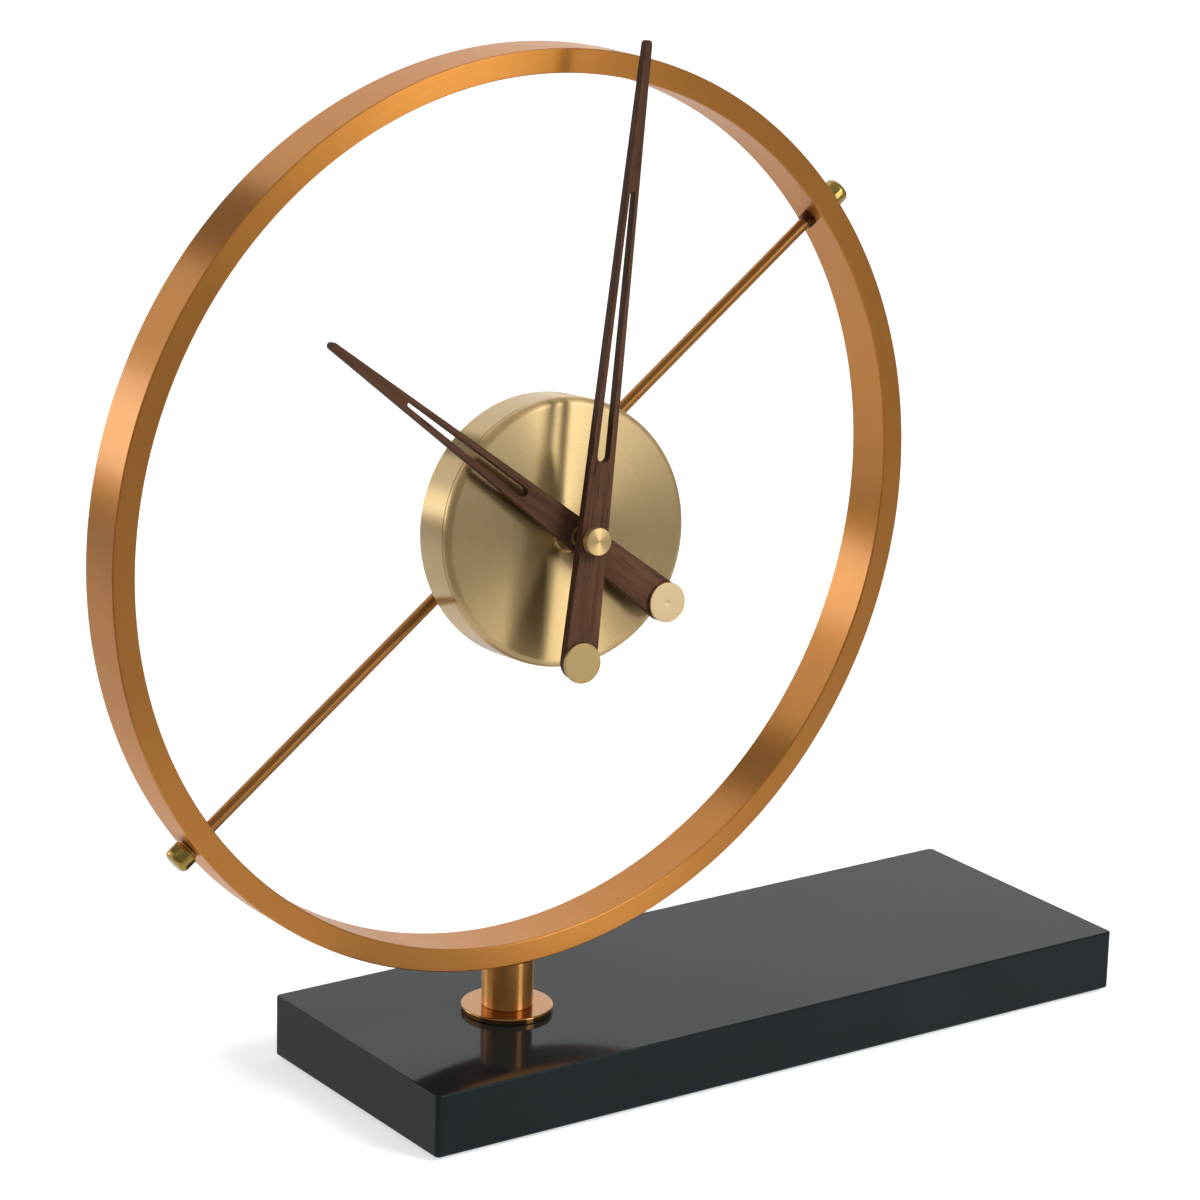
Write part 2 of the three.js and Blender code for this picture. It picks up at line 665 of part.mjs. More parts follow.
// Places of the cell, the coil and the circuit board
const cellRadius = CELL_DIAMETER / 2;
const cellY = cellRadius + CELL_ROOM - caseInner;
const bayTop = cellY + cellRadius + CELL_ROOM;
const trainBottom = bayTop + BAY_WALL;
const coilRadius = COIL_DIAMETER / 2;
const coilY = caseInner - coilRadius - TRAIN_ROOM / 2;
const statorFront = magnetFront + (MAGNET_LENGTH - STATOR_THICK) / 2;
const coreBack = statorFront - SEAT_GAP;
const coreFront = coreBack - STATOR_THICK;
const coilDepth = (coreFront + coreBack) / 2;
const magnetRadius = MAGNET_DIAMETER / 2;
const statorHole = magnetRadius + 2 * SEAT_GAP;
const poleHalf = statorHole + STATOR_RIM;
const coilRight = rotorAt.x - poleHalf - BOBBIN_FLANGE - SEAT_GAP;
const coilLeft = coilRight - COIL_LENGTH;
const coilLeg = BOSS_DIAMETER + 2 * SEAT_GAP;
const coreLeft = coilLeft - coilLeg - BOBBIN_FLANGE;
const coreRight = rotorAt.x + coilLeg / 2;
const boardLeft = SEAT_GAP - caseInner;
const boardRight = boardLeft + BOARD_WIDTH;
const pocketCorner = CASE_CORNER - CASE_WALL;
const boardBottom = trainBottom + pocketCorner;
const boardTop = boardBottom + CHIP_SIDE + CRYSTAL_LENGTH + 3 * BOARD_MARGIN;
const boardFront = CASE_SPLIT - BOARD_THICK;
const boardBack = boardFront + BOARD_THICK;

// Movement case: a front tray and a back cover, with a bay open to the back for the cell
const caseOutline = roundedRectangle(-caseHalf, caseHalf, -caseHalf, caseHalf, CASE_CORNER);
const trainPocket = roundedRectangle(-caseInner, caseInner, trainBottom, caseInner, pocketCorner);
const bayPocket = roundedRectangle(-caseInner, caseInner, -caseInner, bayTop, CONTACT_ROOM);

// A round boss that stands on the inside of the case's front wall and carries a piece at its back end
function caseBoss(at, diameter, carriedDepth) {
  const low = behind(carriedDepth - SEAT_GAP);
  return cylinder(diameter / 2, low, behind(CASE_WALL - FUSE), SMALL_SIDES).translate(at.x, at.y, 0);
}
const boardMiddle = { x: (boardLeft + boardRight) / 2, y: (boardBottom + boardTop) / 2 };
const bosses = [
  caseBoss({ x: coreLeft + coilLeg / 2, y: coilY }, BOSS_DIAMETER, coreFront),
  caseBoss({ x: coreRight - coilLeg / 2, y: coilY }, BOSS_DIAMETER, coreFront),
  caseBoss(boardMiddle, BOSS_DIAMETER, boardFront),
  ...pillars.map((at) => caseBoss(at, PILLAR_DIAMETER, plateFront)),
];
const pivotHole = pivotRadius + RUNNING_GAP;
const frontPivots = [minuteWheelAt, thirdAt, intermediateAt, rotorAt].map((at) => (
  cylinder(pivotHole, behind(CASE_WALL + FUSE), behind(CASE_WALL - PIVOT_LENGTH), SMALL_SIDES)
    .translate(at.x, at.y, 0)
));
const frontTray = cut(
  extruded(caseOutline, behind(CASE_SPLIT), behind(0)),
  extruded(trainPocket, behind(CASE_SPLIT + FUSE), behind(CASE_WALL)),
  extruded(bayPocket, behind(CASE_SPLIT + FUSE), behind(CASE_WALL)),
  cylinder(bushingHole, behind(CASE_WALL + FUSE), behind(-FUSE)),
);
addMesh(works, 'movement_front', cut(join(frontTray, ...bosses), ...frontPivots), BLACK_PLASTIC);

const movementBack = cut(
  extruded(caseOutline, caseBack, behind(CASE_SPLIT + SEAT_GAP)),
  extruded(trainPocket, caseBack + CASE_WALL, behind(CASE_SPLIT)),
  extruded(bayPocket, caseBack - FUSE, behind(CASE_SPLIT)),
  cylinder(knobShaftRadius + RUNNING_GAP, caseBack - FUSE, caseBack + CASE_WALL + FUSE, SMALL_SIDES)
    .translate(minuteWheelAt.x, minuteWheelAt.y, 0),
);
addMesh(works, 'movement_back', movementBack, BLACK_PLASTIC);

// Threaded bushing with a flange behind the case's front wall, gasket and dial nut
const flangeFront = behind(CASE_WALL + SEAT_GAP);
const bushing = turnedRing([
  [bushingBore, flangeFront - BUSHING_FLANGE_THICK],
  [BUSHING_FLANGE / 2, flangeFront - BUSHING_FLANGE_THICK],
  [BUSHING_FLANGE / 2, flangeFront],
  [bushingRadius, flangeFront],
  [bushingRadius, bushingFront],
  [bushingBore, bushingFront],
]);
addMesh(works, 'threaded_bushing', bushing, BRASS);
const gasketBack = caseFront + SEAT_GAP;
const gasket = tube(bushingHole, GASKET_DIAMETER / 2, gasketBack, drumInside - SEAT_GAP, 0, SMALL_SIDES);
addMesh(works, 'gasket', gasket, RUBBER);
const dialNut = tube(bushingHole, DIAL_NUT_DIAMETER / 2, dialNutBack, dialNutFront, DIAL_NUT_EDGE);
addMesh(works, 'dial_nut', dialNut, BRASS);

// A spur gear with straight-flanked teeth, thin enough to run free, at a depth behind the case's front
function gear(teeth, module, turn, frontDepth, thick) {
  const pitchRadius = teeth * module / 2;
  const root = pitchRadius - TOOTH_DEDENDUM * module;
  const tip = tipRadius(teeth, module);
  const pitch = 2 * Math.PI / teeth;
  const tooth = [
    [root, -TOOTH_ROOT_HALF],
    [tip, -TOOTH_TIP_HALF],
    [tip, TOOTH_TIP_HALF],
    [root, TOOTH_ROOT_HALF],
  ];
  const points = [];
  for (let number = 0; number < teeth; number++) {
    for (const [radius, side] of tooth) {
      const angle = turn + (number + side) * pitch;
      points.push([radius * Math.cos(angle), radius * Math.sin(angle)]);
    }
  }
  return extruded(new THREE.Shape(toVectors(points)), behind(frontDepth + thick), behind(frontDepth));
}

function wheel(teeth, module, turn, layer) {
  return gear(teeth, module, turn, layerFront(layer) + (PINION_THICK - WHEEL_THICK) / 2, WHEEL_THICK);
}

function pinion(teeth, module, turn, layer) {
  return gear(teeth, module, turn, layerFront(layer), PINION_THICK);
}

// The turn of a gear that puts its gaps over the teeth of its driver, along the line of their centres
function meshTurn(driverTeeth, driverTurn, teeth, degrees) {
  const line = THREE.MathUtils.degToRad(degrees);
  return line + Math.PI + Math.PI / teeth + (line - driverTurn) * driverTeeth / teeth;
}

// An arbor from its front pivot in the case to its rear pivot in the train plate
function arbor() {
  const front = behind(CASE_WALL + SEAT_GAP);
  const back = behind(plateFront - SEAT_GAP);
  return turned([
    [0, back - PIVOT_LENGTH],
    [pivotRadius, back - PIVOT_LENGTH],
    [pivotRadius, back],
    [arborRadius, back],
    [arborRadius, front],
    [pivotRadius, front],
    [pivotRadius, front + PIVOT_LENGTH - SEAT_GAP],
    [0, front + PIVOT_LENGTH - SEAT_GAP],
  ], SMALL_SIDES);
}

function addAt(name, geometry, material, at) {
  addMesh(works, name, geometry, material).position.set(at.x, at.y, 0);
}

// Minute arbor: centre wheel, cannon pinion and the shaft that carries the minute hand
const shaftFront = capFront - CAP_ROOF - SEAT_GAP;
const minuteArborBack = behind(plateFront - SEAT_GAP);
const minuteShaft = turned([
  [0, minuteArborBack - PIVOT_LENGTH],
  [pivotRadius, minuteArborBack - PIVOT_LENGTH],
  [pivotRadius, minuteArborBack],
  [minuteRadius, minuteArborBack],
  [minuteRadius, shaftFront],
  [0, shaftFront],
]);
const minuteArbor = join(
  minuteShaft, wheel(CENTRE_TEETH, TRAIN_MODULE, 0, 2), pinion(CANNON_TEETH, minuteModule, 0, 1),
);
addMesh(works, 'minute_arbor', minuteArbor, BRASS);

// Minute wheel, driven by the cannon pinion; its shaft comes out at the back for the setting knob
const minuteWheelTurn = meshTurn(CANNON_TEETH, 0, MINUTE_TEETH, MINUTE_WHEEL_ANGLE);
const knobBack = caseBack - SEAT_GAP - KNOB_THICK;
const knobShaft = cylinder(knobShaftRadius, knobBack + KNOB_THICK / 2, behind(layerFront(1)), SMALL_SIDES);
const minuteWheelFront = behind(CASE_WALL + SEAT_GAP);
const minuteWheelPivot = turned([
  [0, behind(layerFront(1))],
  [arborRadius, behind(layerFront(1))],
  [arborRadius, minuteWheelFront],
  [pivotRadius, minuteWheelFront],
  [pivotRadius, minuteWheelFront + PIVOT_LENGTH - SEAT_GAP],
  [0, minuteWheelFront + PIVOT_LENGTH - SEAT_GAP],
], SMALL_SIDES);
const minuteWheel = join(
  knobShaft, wheel(MINUTE_TEETH, minuteModule, minuteWheelTurn, 1),
  pinion(MINUTE_PINION_TEETH, hourModule, 0, 0), minuteWheelPivot,
);
addAt('minute_wheel', minuteWheel, WHITE_PLASTIC, minuteWheelAt);

// Setting knob with finger notches round its rim
const knobRadius = KNOB_DIAMETER / 2;
const knobPoints = [];
for (let step = 0; step < 2 * KNOB_NOTCHES; step++) {
  const radius = knobRadius - (step % 2) * KNOB_NOTCH_DEPTH;
  const angle = step * Math.PI / KNOB_NOTCHES;
  knobPoints.push([radius * Math.cos(angle), radius * Math.sin(angle)]);
}
const knob = cut(
  extruded(new THREE.Shape(toVectors(knobPoints)), knobBack, knobBack + KNOB_THICK),
  cylinder(knobShaftRadius + RUNNING_GAP, knobBack + KNOB_THICK / 2 - SEAT_GAP, caseBack, SMALL_SIDES),
);
addAt('setting_knob', knob, BLACK_PLASTIC, minuteWheelAt);

// Hour wheel with the tube that carries the hour hand
const hourWheelTurn = meshTurn(MINUTE_PINION_TEETH, 0, HOUR_TEETH, MINUTE_WHEEL_ANGLE + 180);
const hourWheel = cut(
  join(
    wheel(HOUR_TEETH, hourModule, hourWheelTurn, 0),
    cylinder(hourRadius, behind(layerFront(0) + WHEEL_THICK), hourFront),
  ),
  cylinder(hourBore, behind(layerFront(1)), hourFront + FUSE),
);
addMesh(works, 'hour_wheel', hourWheel, BLACK_PLASTIC);

// Third and intermediate wheels
const thirdTurn = meshTurn(CENTRE_TEETH, 0, PINION_TEETH, THIRD_ANGLE);
const thirdWheel = join(
  arbor(), pinion(PINION_TEETH, TRAIN_MODULE, thirdTurn, 2), wheel(THIRD_TEETH, TRAIN_MODULE, 0, 3),
);
addAt('third_wheel', thirdWheel, WHITE_PLASTIC, thirdAt);
const intermediateTurn = meshTurn(THIRD_TEETH, 0, PINION_TEETH, INTERMEDIATE_ANGLE);
const intermediateWheel = join(
  arbor(), pinion(PINION_TEETH, TRAIN_MODULE, intermediateTurn, 3),
  wheel(INTERMEDIATE_TEETH, motorModule, 0, 4),
);
addAt('intermediate_wheel', intermediateWheel, WHITE_PLASTIC, intermediateAt);

// Rotor: a pinion and a round magnet on one arbor
const rotorTurn = meshTurn(INTERMEDIATE_TEETH, 0, PINION_TEETH, ROTOR_ANGLE);
const magnet = cylinder(magnetRadius, behind(magnetFront + MAGNET_LENGTH), behind(magnetFront));
addAt('rotor', join(arbor(), pinion(PINION_TEETH, motorModule, rotorTurn, 4), magnet), STEEL, rotorAt);

// Train plate on its pillars, with a hole for each arbor
const plateStops = [centre, thirdAt, intermediateAt, rotorAt, minuteWheelAt, ...pillars];
const plateX = plateStops.map((at) => at.x);
const plateY = plateStops.map((at) => at.y);
const plateOutline = roundedRectangle(
  Math.min(...plateX) - PLATE_MARGIN, Math.max(...plateX) + PLATE_MARGIN,
  Math.min(...plateY) - PLATE_MARGIN, Math.max(...plateY) + PLATE_MARGIN, PLATE_MARGIN,
);
for (const at of [centre, thirdAt, intermediateAt, rotorAt]) {
  plateOutline.holes.push(circle(at.x, at.y, pivotHole));
}
plateOutline.holes.push(circle(minuteWheelAt.x, minuteWheelAt.y, knobShaftRadius + RUNNING_GAP));
const trainPlate = extruded(plateOutline, behind(plateFront + PLATE_THICK), behind(plateFront));
addMesh(works, 'train_plate', trainPlate, WHITE_PLASTIC);

// Stator: a bent plate with a hole round the magnet and two legs up to the coil's core
const statorTop = coilY + COIL_CORE_WIDTH / 2;
const poleTop = rotorAt.y + statorHole + STATOR_RIM / 2;
const poleBottom = rotorAt.y - statorHole - STATOR_RIM / 2;
const armTop = rotorAt.y + STATOR_ARM / 2;
const armBottom = rotorAt.y - STATOR_ARM / 2;
const statorOutline = new THREE.Shape(toVectors([
  [coreLeft, armBottom],
  [rotorAt.x - poleHalf, armBottom],
  [rotorAt.x - poleHalf, poleBottom],
  [rotorAt.x + poleHalf, poleBottom],
  [rotorAt.x + poleHalf, poleTop],
  [coreRight, poleTop],
  [coreRight, statorTop],
  [coreRight - coilLeg, statorTop],
  [coreRight - coilLeg, poleTop],
  [rotorAt.x - poleHalf, armTop],
  [coreLeft + coilLeg, armTop],
  [coreLeft + coilLeg, statorTop],
  [coreLeft, statorTop],
]));
statorOutline.holes.push(circle(rotorAt.x, rotorAt.y, statorHole, TURNED_SIDES));
const stator = extruded(statorOutline, behind(statorFront + STATOR_THICK), behind(statorFront));
addMesh(works, 'stator', stator, STEEL);

// Coil: winding between two bobbin flanges on a flat core
const coilForm = turned([
  [0, -BOBBIN_FLANGE],
  [coilRadius, -BOBBIN_FLANGE],
  [coilRadius, 0],
  [coilRadius - BOBBIN_FLANGE / 2, 0],
  [coilRadius - BOBBIN_FLANGE / 2, COIL_LENGTH],
  [coilRadius, COIL_LENGTH],
  [coilRadius, COIL_LENGTH + BOBBIN_FLANGE],
  [0, COIL_LENGTH + BOBBIN_FLANGE],
], SMALL_SIDES).rotateY(Math.PI / 2).translate(coilLeft, coilY, behind(coilDepth));
const coilCore = box(
  coreLeft, coreRight, coilY - COIL_CORE_WIDTH / 2, coilY + COIL_CORE_WIDTH / 2,
  behind(coreBack), behind(coreFront),
);
addMesh(works, 'coil', join(coilForm, coilCore), WINDING);

// Circuit board with its sealed chip, and the crystal can lying on it
const chipX = boardMiddle.x;
const chipY = boardBottom + BOARD_MARGIN + CHIP_SIDE / 2;
const board = join(
  box(boardLeft, boardRight, boardBottom, boardTop, behind(boardBack), behind(boardFront)),
  box(
    chipX - CHIP_SIDE / 2, chipX + CHIP_SIDE / 2, chipY - CHIP_SIDE / 2, chipY + CHIP_SIDE / 2,
    behind(boardBack + CHIP_THICK), behind(boardBack - FUSE),
  ),
);
addMesh(works, 'circuit_board', board, BOARD_GREEN);
const crystalLow = boardTop - BOARD_MARGIN - CRYSTAL_LENGTH;
const crystalDepth = boardBack + SEAT_GAP + CRYSTAL_DIAMETER / 2;
const crystal = cylinder(CRYSTAL_DIAMETER / 2, 0, CRYSTAL_LENGTH, SMALL_SIDES)
  .rotateX(-Math.PI / 2)
  .translate(chipX, crystalLow, behind(crystalDepth));
addMesh(works, 'crystal', crystal, STEEL);

// Cell, and two contacts on the bay's end walls, each with a dimple that meets the cell
const cellCentre = caseBack + CELL_ROOM + cellRadius;
const cellEnd = CELL_LENGTH / 2;
const nubRadius = CELL_NUB_DIAMETER / 2;
const cell = turned([
  [0, -cellEnd],
  [cellRadius - CELL_EDGE, -cellEnd],
  [cellRadius, CELL_EDGE - cellEnd],
  [cellRadius, cellEnd - CELL_NUB_LENGTH - CELL_EDGE],
  [cellRadius - CELL_EDGE, cellEnd - CELL_NUB_LENGTH],
  [nubRadius, cellEnd - CELL_NUB_LENGTH],
  [nubRadius, cellEnd],
  [0, cellEnd],
]).rotateY(Math.PI / 2).translate(0, cellY, cellCentre);
addMesh(works, 'cell', cell, CELL_JACKET);

const contactOuter = caseInner - SEAT_GAP;
const contactInner = contactOuter - CONTACT_THICK;
const contactHalf = CONTACT_SIDE / 2;
const contactForm = join(
  box(contactInner, contactOuter, -contactHalf, contactHalf, -contactHalf, contactHalf),
  cylinder(CONTACT_DIMPLE / 2, cellEnd + SEAT_GAP, contactInner + FUSE, SMALL_SIDES).rotateY(Math.PI / 2),
);
for (const [name, turn] of [['contact_positive', 0], ['contact_negative', Math.PI]]) {
  const contact = addMesh(works, name, contactForm, STEEL);
  contact.position.set(0, cellY, cellCentre);
  contact.rotation.y = turn;
}

// A hand's outline, drawn pointing up: a straight taper between two round ends, with a tapered slot
function handOutline(hand, boreRadius) {
  const tip = hand.tipWidth / 2;
  const outline = new THREE.Shape(toVectors([
    ...arcPoints(0, hand.reach - tip, tip, 0, 180, END_STEPS),
    ...arcPoints(0, -hand.tail, hand.tailWidth / 2, 180, 360, END_STEPS),
  ]));
  const far = hand.slotFarWidth / 2;
  const near = hand.slotNearWidth / 2;
  const slot = new THREE.Path(toVectors([
    ...arcPoints(0, hand.slotFar - far, far, 180, 0, END_STEPS),
    ...arcPoints(0, hand.slotNear + near, near, 0, -180, END_STEPS),
  ]));
  outline.holes.push(slot, circle(0, 0, boreRadius, TURNED_SIDES));
  return outline;
}

// A wooden hand with its brass bush and tail disc, turned to the angle it shows
function addHand(name, hand, boreRadius, bushBack, handBack) {
  const group = new THREE.Group();
  group.rotation.z = THREE.MathUtils.degToRad(hand.angle - 90);
  face.add(group);
  const handFront = handBack + HAND_THICK;
  const bushRadius = boreRadius + BUSH_WALL;
  const outline = handOutline(hand, bushRadius + RUNNING_GAP);
  addMesh(group, `${name}_hand`, extruded(outline, handBack, handFront, HAND_EDGE), WALNUT);
  const bush = turnedRing([
    [boreRadius, bushBack],
    [bushRadius + BUSH_FLANGE, bushBack],
    [bushRadius + BUSH_FLANGE, bushBack + BUSH_FLANGE_THICK],
    [bushRadius, bushBack + BUSH_FLANGE_THICK],
    [bushRadius, handFront],
    [boreRadius, handFront],
  ], SMALL_SIDES);
  addMesh(group, `${name}_bush`, bush, BRASS);
  const discBack = handFront + SEAT_GAP;
  const disc = turned([
    [0, discBack],
    [DISC_DIAMETER / 2, discBack],
    [DISC_DIAMETER / 2, discBack + DISC_THICK - DISC_EDGE],
    [DISC_DIAMETER / 2 - DISC_EDGE, discBack + DISC_THICK],
    [0, discBack + DISC_THICK],
  ]);
  addMesh(group, `${name}_disc`, disc, BRASS).position.y = -hand.tail;
}
addHand('hour', HOUR_HAND, hourRadius + RUNNING_GAP, hourBushBack, hourBack);
addHand('minute', MINUTE_HAND, minuteRadius + RUNNING_GAP, minuteBushBack, minuteBack);

// Cap nut that holds the minute hand on its shaft
const capRadius = CAP_DIAMETER / 2;
const handCap = turned([
  [0, capFront - CAP_ROOF],
  [minuteRadius + RUNNING_GAP, capFront - CAP_ROOF],
  [minuteRadius + RUNNING_GAP, capBack],
  [capRadius, capBack],
  [capRadius, capFront - CAP_EDGE],
  [capRadius - CAP_EDGE, capFront],
  [0, capFront],
]);
addMesh(works, 'hand_cap', handCap, BRASS);

export default clock;
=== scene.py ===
"""The looks of a table clock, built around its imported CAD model.

The clock's sizes are in millimetres, in each piece's own frame, and MM turns them into metres. The floor, the
lights and the camera are in metres.
"""

import math

import bmesh
import bpy
from mathutils import Matrix, Vector
from mathutils.geometry import tessellate_polygon


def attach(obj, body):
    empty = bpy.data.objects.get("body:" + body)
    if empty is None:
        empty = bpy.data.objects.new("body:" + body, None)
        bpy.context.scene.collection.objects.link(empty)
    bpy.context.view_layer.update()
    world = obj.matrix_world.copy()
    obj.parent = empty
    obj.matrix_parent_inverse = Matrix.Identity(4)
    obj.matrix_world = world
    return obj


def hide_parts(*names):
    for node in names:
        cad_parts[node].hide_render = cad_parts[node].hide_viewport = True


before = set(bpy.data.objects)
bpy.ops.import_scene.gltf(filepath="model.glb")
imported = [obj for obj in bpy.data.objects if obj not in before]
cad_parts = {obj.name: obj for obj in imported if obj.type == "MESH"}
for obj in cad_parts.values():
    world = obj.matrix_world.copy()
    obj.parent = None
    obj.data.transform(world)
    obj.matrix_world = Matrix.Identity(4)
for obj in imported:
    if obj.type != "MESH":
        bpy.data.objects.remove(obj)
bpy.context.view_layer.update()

MM = 0.001

# Frames: the stand's stands on the table under the ring, and the dial's has x to the right, y up and z
# towards the reader, centred in the ring. The rod's frame is the dial's, turned so that x runs along the rod.
# The works' frame is the rod's, leaned back about the rod and dropped to the drum's axis, and the face's is
# the works', turned back so that y runs up.
RING_X = -81
RING_HEIGHT = 191
ROD_ANGLE = 37.2
DRUM_LEAN = 8.1
DRUM_DROP = 2.6
MINUTE_ANGLE = 80.45
HOUR_ANGLE = 140.6


def shift(x, y, z):
    return Matrix.Translation(Vector((x, y, z)) * MM)


def spin(degrees, axis):
    return Matrix.Rotation(math.radians(degrees), 4, axis)


LEVEL = Matrix.Identity(4)
STAND = shift(RING_X, 0, 0)
DIAL = shift(RING_X, 0, RING_HEIGHT) @ spin(90, "X")
ACROSS = DIAL @ spin(ROD_ANGLE, "Z")
LEANING = ACROSS @ spin(-DRUM_LEAN, "X")
WORKS = LEANING @ shift(0, -DRUM_DROP, 0)
FACE = WORKS @ spin(-ROD_ANGLE, "Z")
MINUTE = FACE @ spin(MINUTE_ANGLE - 90, "Z")
HOUR = FACE @ spin(HOUR_ANGLE - 90, "Z")


# Mesh helpers

ON_AXIS = 1e-6
HOLE_SIDES = 48
SHARP_ANGLE = 38


def new_piece(name, mesh, place):
    """An object made from a bmesh, at its place in the shared frame."""
    bmesh.ops.recalc_face_normals(mesh, faces=mesh.faces)
    data = bpy.data.meshes.new(name)
    mesh.to_mesh(data)
    mesh.free()
    piece = bpy.data.objects.new(name, data)
    piece.matrix_world = place
    bpy.context.scene.collection.objects.link(piece)
    return piece


def rounded(points, radii, steps=4):
    """A closed outline whose corners are rounded: radii gives the radius for a corner's number."""
    outline = []
    for number, point in enumerate(points):
        corner = Vector(point)
        radius = radii.get(number, 0)
        if radius == 0:
            outline.append(corner)
            continue
        before = (Vector(points[number - 1]) - corner).normalized()
        after = (Vector(points[(number + 1) % len(points)]) - corner).normalized()
        half = before.angle(after) / 2
        centre = corner + (before + after).normalized() * (radius / math.sin(half))
        start = corner + before * (radius / math.tan(half)) - centre
        end = corner + after * (radius / math.tan(half)) - centre
        for step in range(steps + 1):
            outline.append(centre + start.lerp(end, step / steps).normalized() * radius)
    return outline


def block_corners(left, right, low, high):
    return [(left, low), (right, low), (right, high), (left, high)]


def every_corner(radius):
    return dict.fromkeys(range(4), radius)


def plate_outline(half_x, half_y, corner):
    return rounded(block_corners(-half_x, half_x, -half_y, half_y), every_corner(corner), 6)


def arc(x, y, radius, start, end, steps):
    """Points along an arc between two angles in degrees."""
    turns = [math.radians(start + (end - start) * step / steps) for step in range(steps + 1)]
    return [Vector((x + radius * math.cos(turn), y + radius * math.sin(turn))) for turn in turns]


def hole(x, radius):
    """A round outline whose centre lies on the X axis."""
    return arc(x, 0, radius, 0, 360 - 360 / HOLE_SIDES, HOLE_SIDES - 1)


def turned(name, profile, place, sides=96, relief=None):
    """A solid turned about Z from a closed profile of (radius, height) points.

    relief, where given, says how much is taken off the radius at a height and a turn.
    """
    mesh = bmesh.new()
    rings = []
    for radius, height in profile:
        if radius < ON_AXIS:
            rings.append([mesh.verts.new((0, 0, height * MM))] * sides)
            continue
        ring = []
        for step in range(sides):
            turn = 2 * math.pi * step / sides
            reach = (radius - relief(radius, height, turn) if relief else radius) * MM
            ring.append(mesh.verts.new((reach * math.cos(turn), reach * math.sin(turn), height * MM)))
        rings.append(ring)
    for ring, beyond in zip(rings, rings[1:] + rings[:1]):
        for step in range(sides):
            following = (step + 1) % sides
            corners = dict.fromkeys([ring[step], ring[following], beyond[following], beyond[step]])
            if len(corners) > 2:
                mesh.faces.new(list(corners))
    return new_piece(name, mesh, place)


def extruded(name, outlines, low, high, edge, place, steps=3):
    """A plate between two heights with rounded edges: the first outline is its rim, the others are holes."""
    loops = []
    for number, outline in enumerate(outlines):
        points = [Vector((x, y)) for x, y in outline]
        area = sum(a.x * b.y - b.x * a.y for a, b in zip(points, points[1:] + points[:1]))
        if (area > 0) == (number > 0):
            points.reverse()
        loops.append(points)
    turns = [math.pi / 2 * step / steps for step in range(steps + 1)]
    levels = [(edge * (1 - math.sin(turn)), low + edge * (1 - math.cos(turn))) for turn in turns]
    levels += [(inset, low + high - height) for inset, height in reversed(levels)]
    mesh = bmesh.new()
    stacks = []
    for points in loops:
        inward = []
        for number, point in enumerate(points):
            one = (point - points[number - 1]).normalized()
            two = (points[(number + 1) % len(points)] - point).normalized()
            first, second = Vector((-one.y, one.x)), Vector((-two.y, two.x))
            inward.append((first + second) / (1 + first.dot(second)))
        stack = []
        for inset, height in levels:
            flat = [point + away * inset for point, away in zip(points, inward)]
            stack.append([mesh.verts.new((p.x * MM, p.y * MM, height * MM)) for p in flat])
        stacks.append(stack)
        for ring, beyond in zip(stack, stack[1:]):
            for number in range(len(ring)):
                mesh.faces.new((ring[number - 1], ring[number], beyond[number], beyond[number - 1]))
    for level in (0, -1):
        rims = [stack[level] for stack in stacks]
        corners = [vertex for rim in rims for vertex in rim]
        for triangle in tessellate_polygon([[vertex.co for vertex in rim] for rim in rims]):
            mesh.faces.new([corners[number] for number in triangle])
    return new_piece(name, mesh, place)


def bar(radius, low, high, place, sides=HOLE_SIDES):
    """A plain round tool for carving, along Z."""
    return turned("tool", [(0, low), (radius, low), (radius, high), (0, high)], place, sides)


def carve(piece, tools, operation="DIFFERENCE"):
    """Cuts tools out of a piece, or joins them to it, and removes the tools."""
    for tool in tools:
        change = piece.modifiers.new("carve", "BOOLEAN")
        change.operation = operation
        change.solver = "EXACT"
        change.object = tool
    evaluated = piece.evaluated_get(bpy.context.evaluated_depsgraph_get())
    result = bpy.data.meshes.new_from_object(evaluated)
    piece.modifiers.clear()
    piece.data = result
    for tool in tools:
        bpy.data.objects.remove(tool, do_unlink=True)


def dress(piece, node, material, body="stand"):
    """Gives a piece its material and smooth shading, and lets it stand for a CAD node."""
    piece.data.materials.append(material)
    for face in piece.data.polygons:
        face.use_smooth = True
    piece.data.set_sharp_from_angle(angle=math.radians(SHARP_ANGLE))
    even = piece.modifiers.new("even", "WEIGHTED_NORMAL")
    even.keep_sharp = True
    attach(piece, body)
    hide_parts(node)


# Material helpers: a place's scale counts features in a metre, and a bump's depth is in millimetres

# The Mix node's sockets for a factor and two colours, and for the colour it gives
MIX_INPUTS = (0, 6, 7)
MIX_OUTPUT = 2


def add(tree, kind, inputs=None, **settings):
    """A node with its settings, whose inputs are values or other nodes' outputs."""
    node = tree.nodes.new("ShaderNode" + kind)
    for key, value in settings.items():
        setattr(node, key, value)
    for key, value in (inputs or {}).items():
        if isinstance(value, bpy.types.NodeSocket):
            tree.links.new(value, node.inputs[key])
        else:
            node.inputs[key].default_value = value
    return node


def calculate(tree, operation, first, second):
    return add(tree, "Math", {0: first, 1: second}, operation=operation).outputs[0]


def new_material(name, **values):
    """A material with its shader's plain values set on the shader's own sockets."""
    material = bpy.data.materials.new(name)
    material.use_nodes = True
    tree = material.node_tree
    shader = tree.nodes["Principled BSDF"]
    for key, value in values.items():
        shader.inputs[key.replace("_", " ")].default_value = value
    return material, tree, shader


def here(tree):
    """The surface's place in its piece's own frame."""
    return add(tree, "TexCoord").outputs["Object"]


def length(tree, vector):
    return add(tree, "VectorMath", {0: vector}, operation="LENGTH").outputs["Value"]


def noise(tree, vector, detail=3.0):
    inputs = {"Vector": vector, "Scale": 1.0, "Detail": detail, "Roughness": 0.6}
    return add(tree, "TexNoise", inputs).outputs["Fac"]


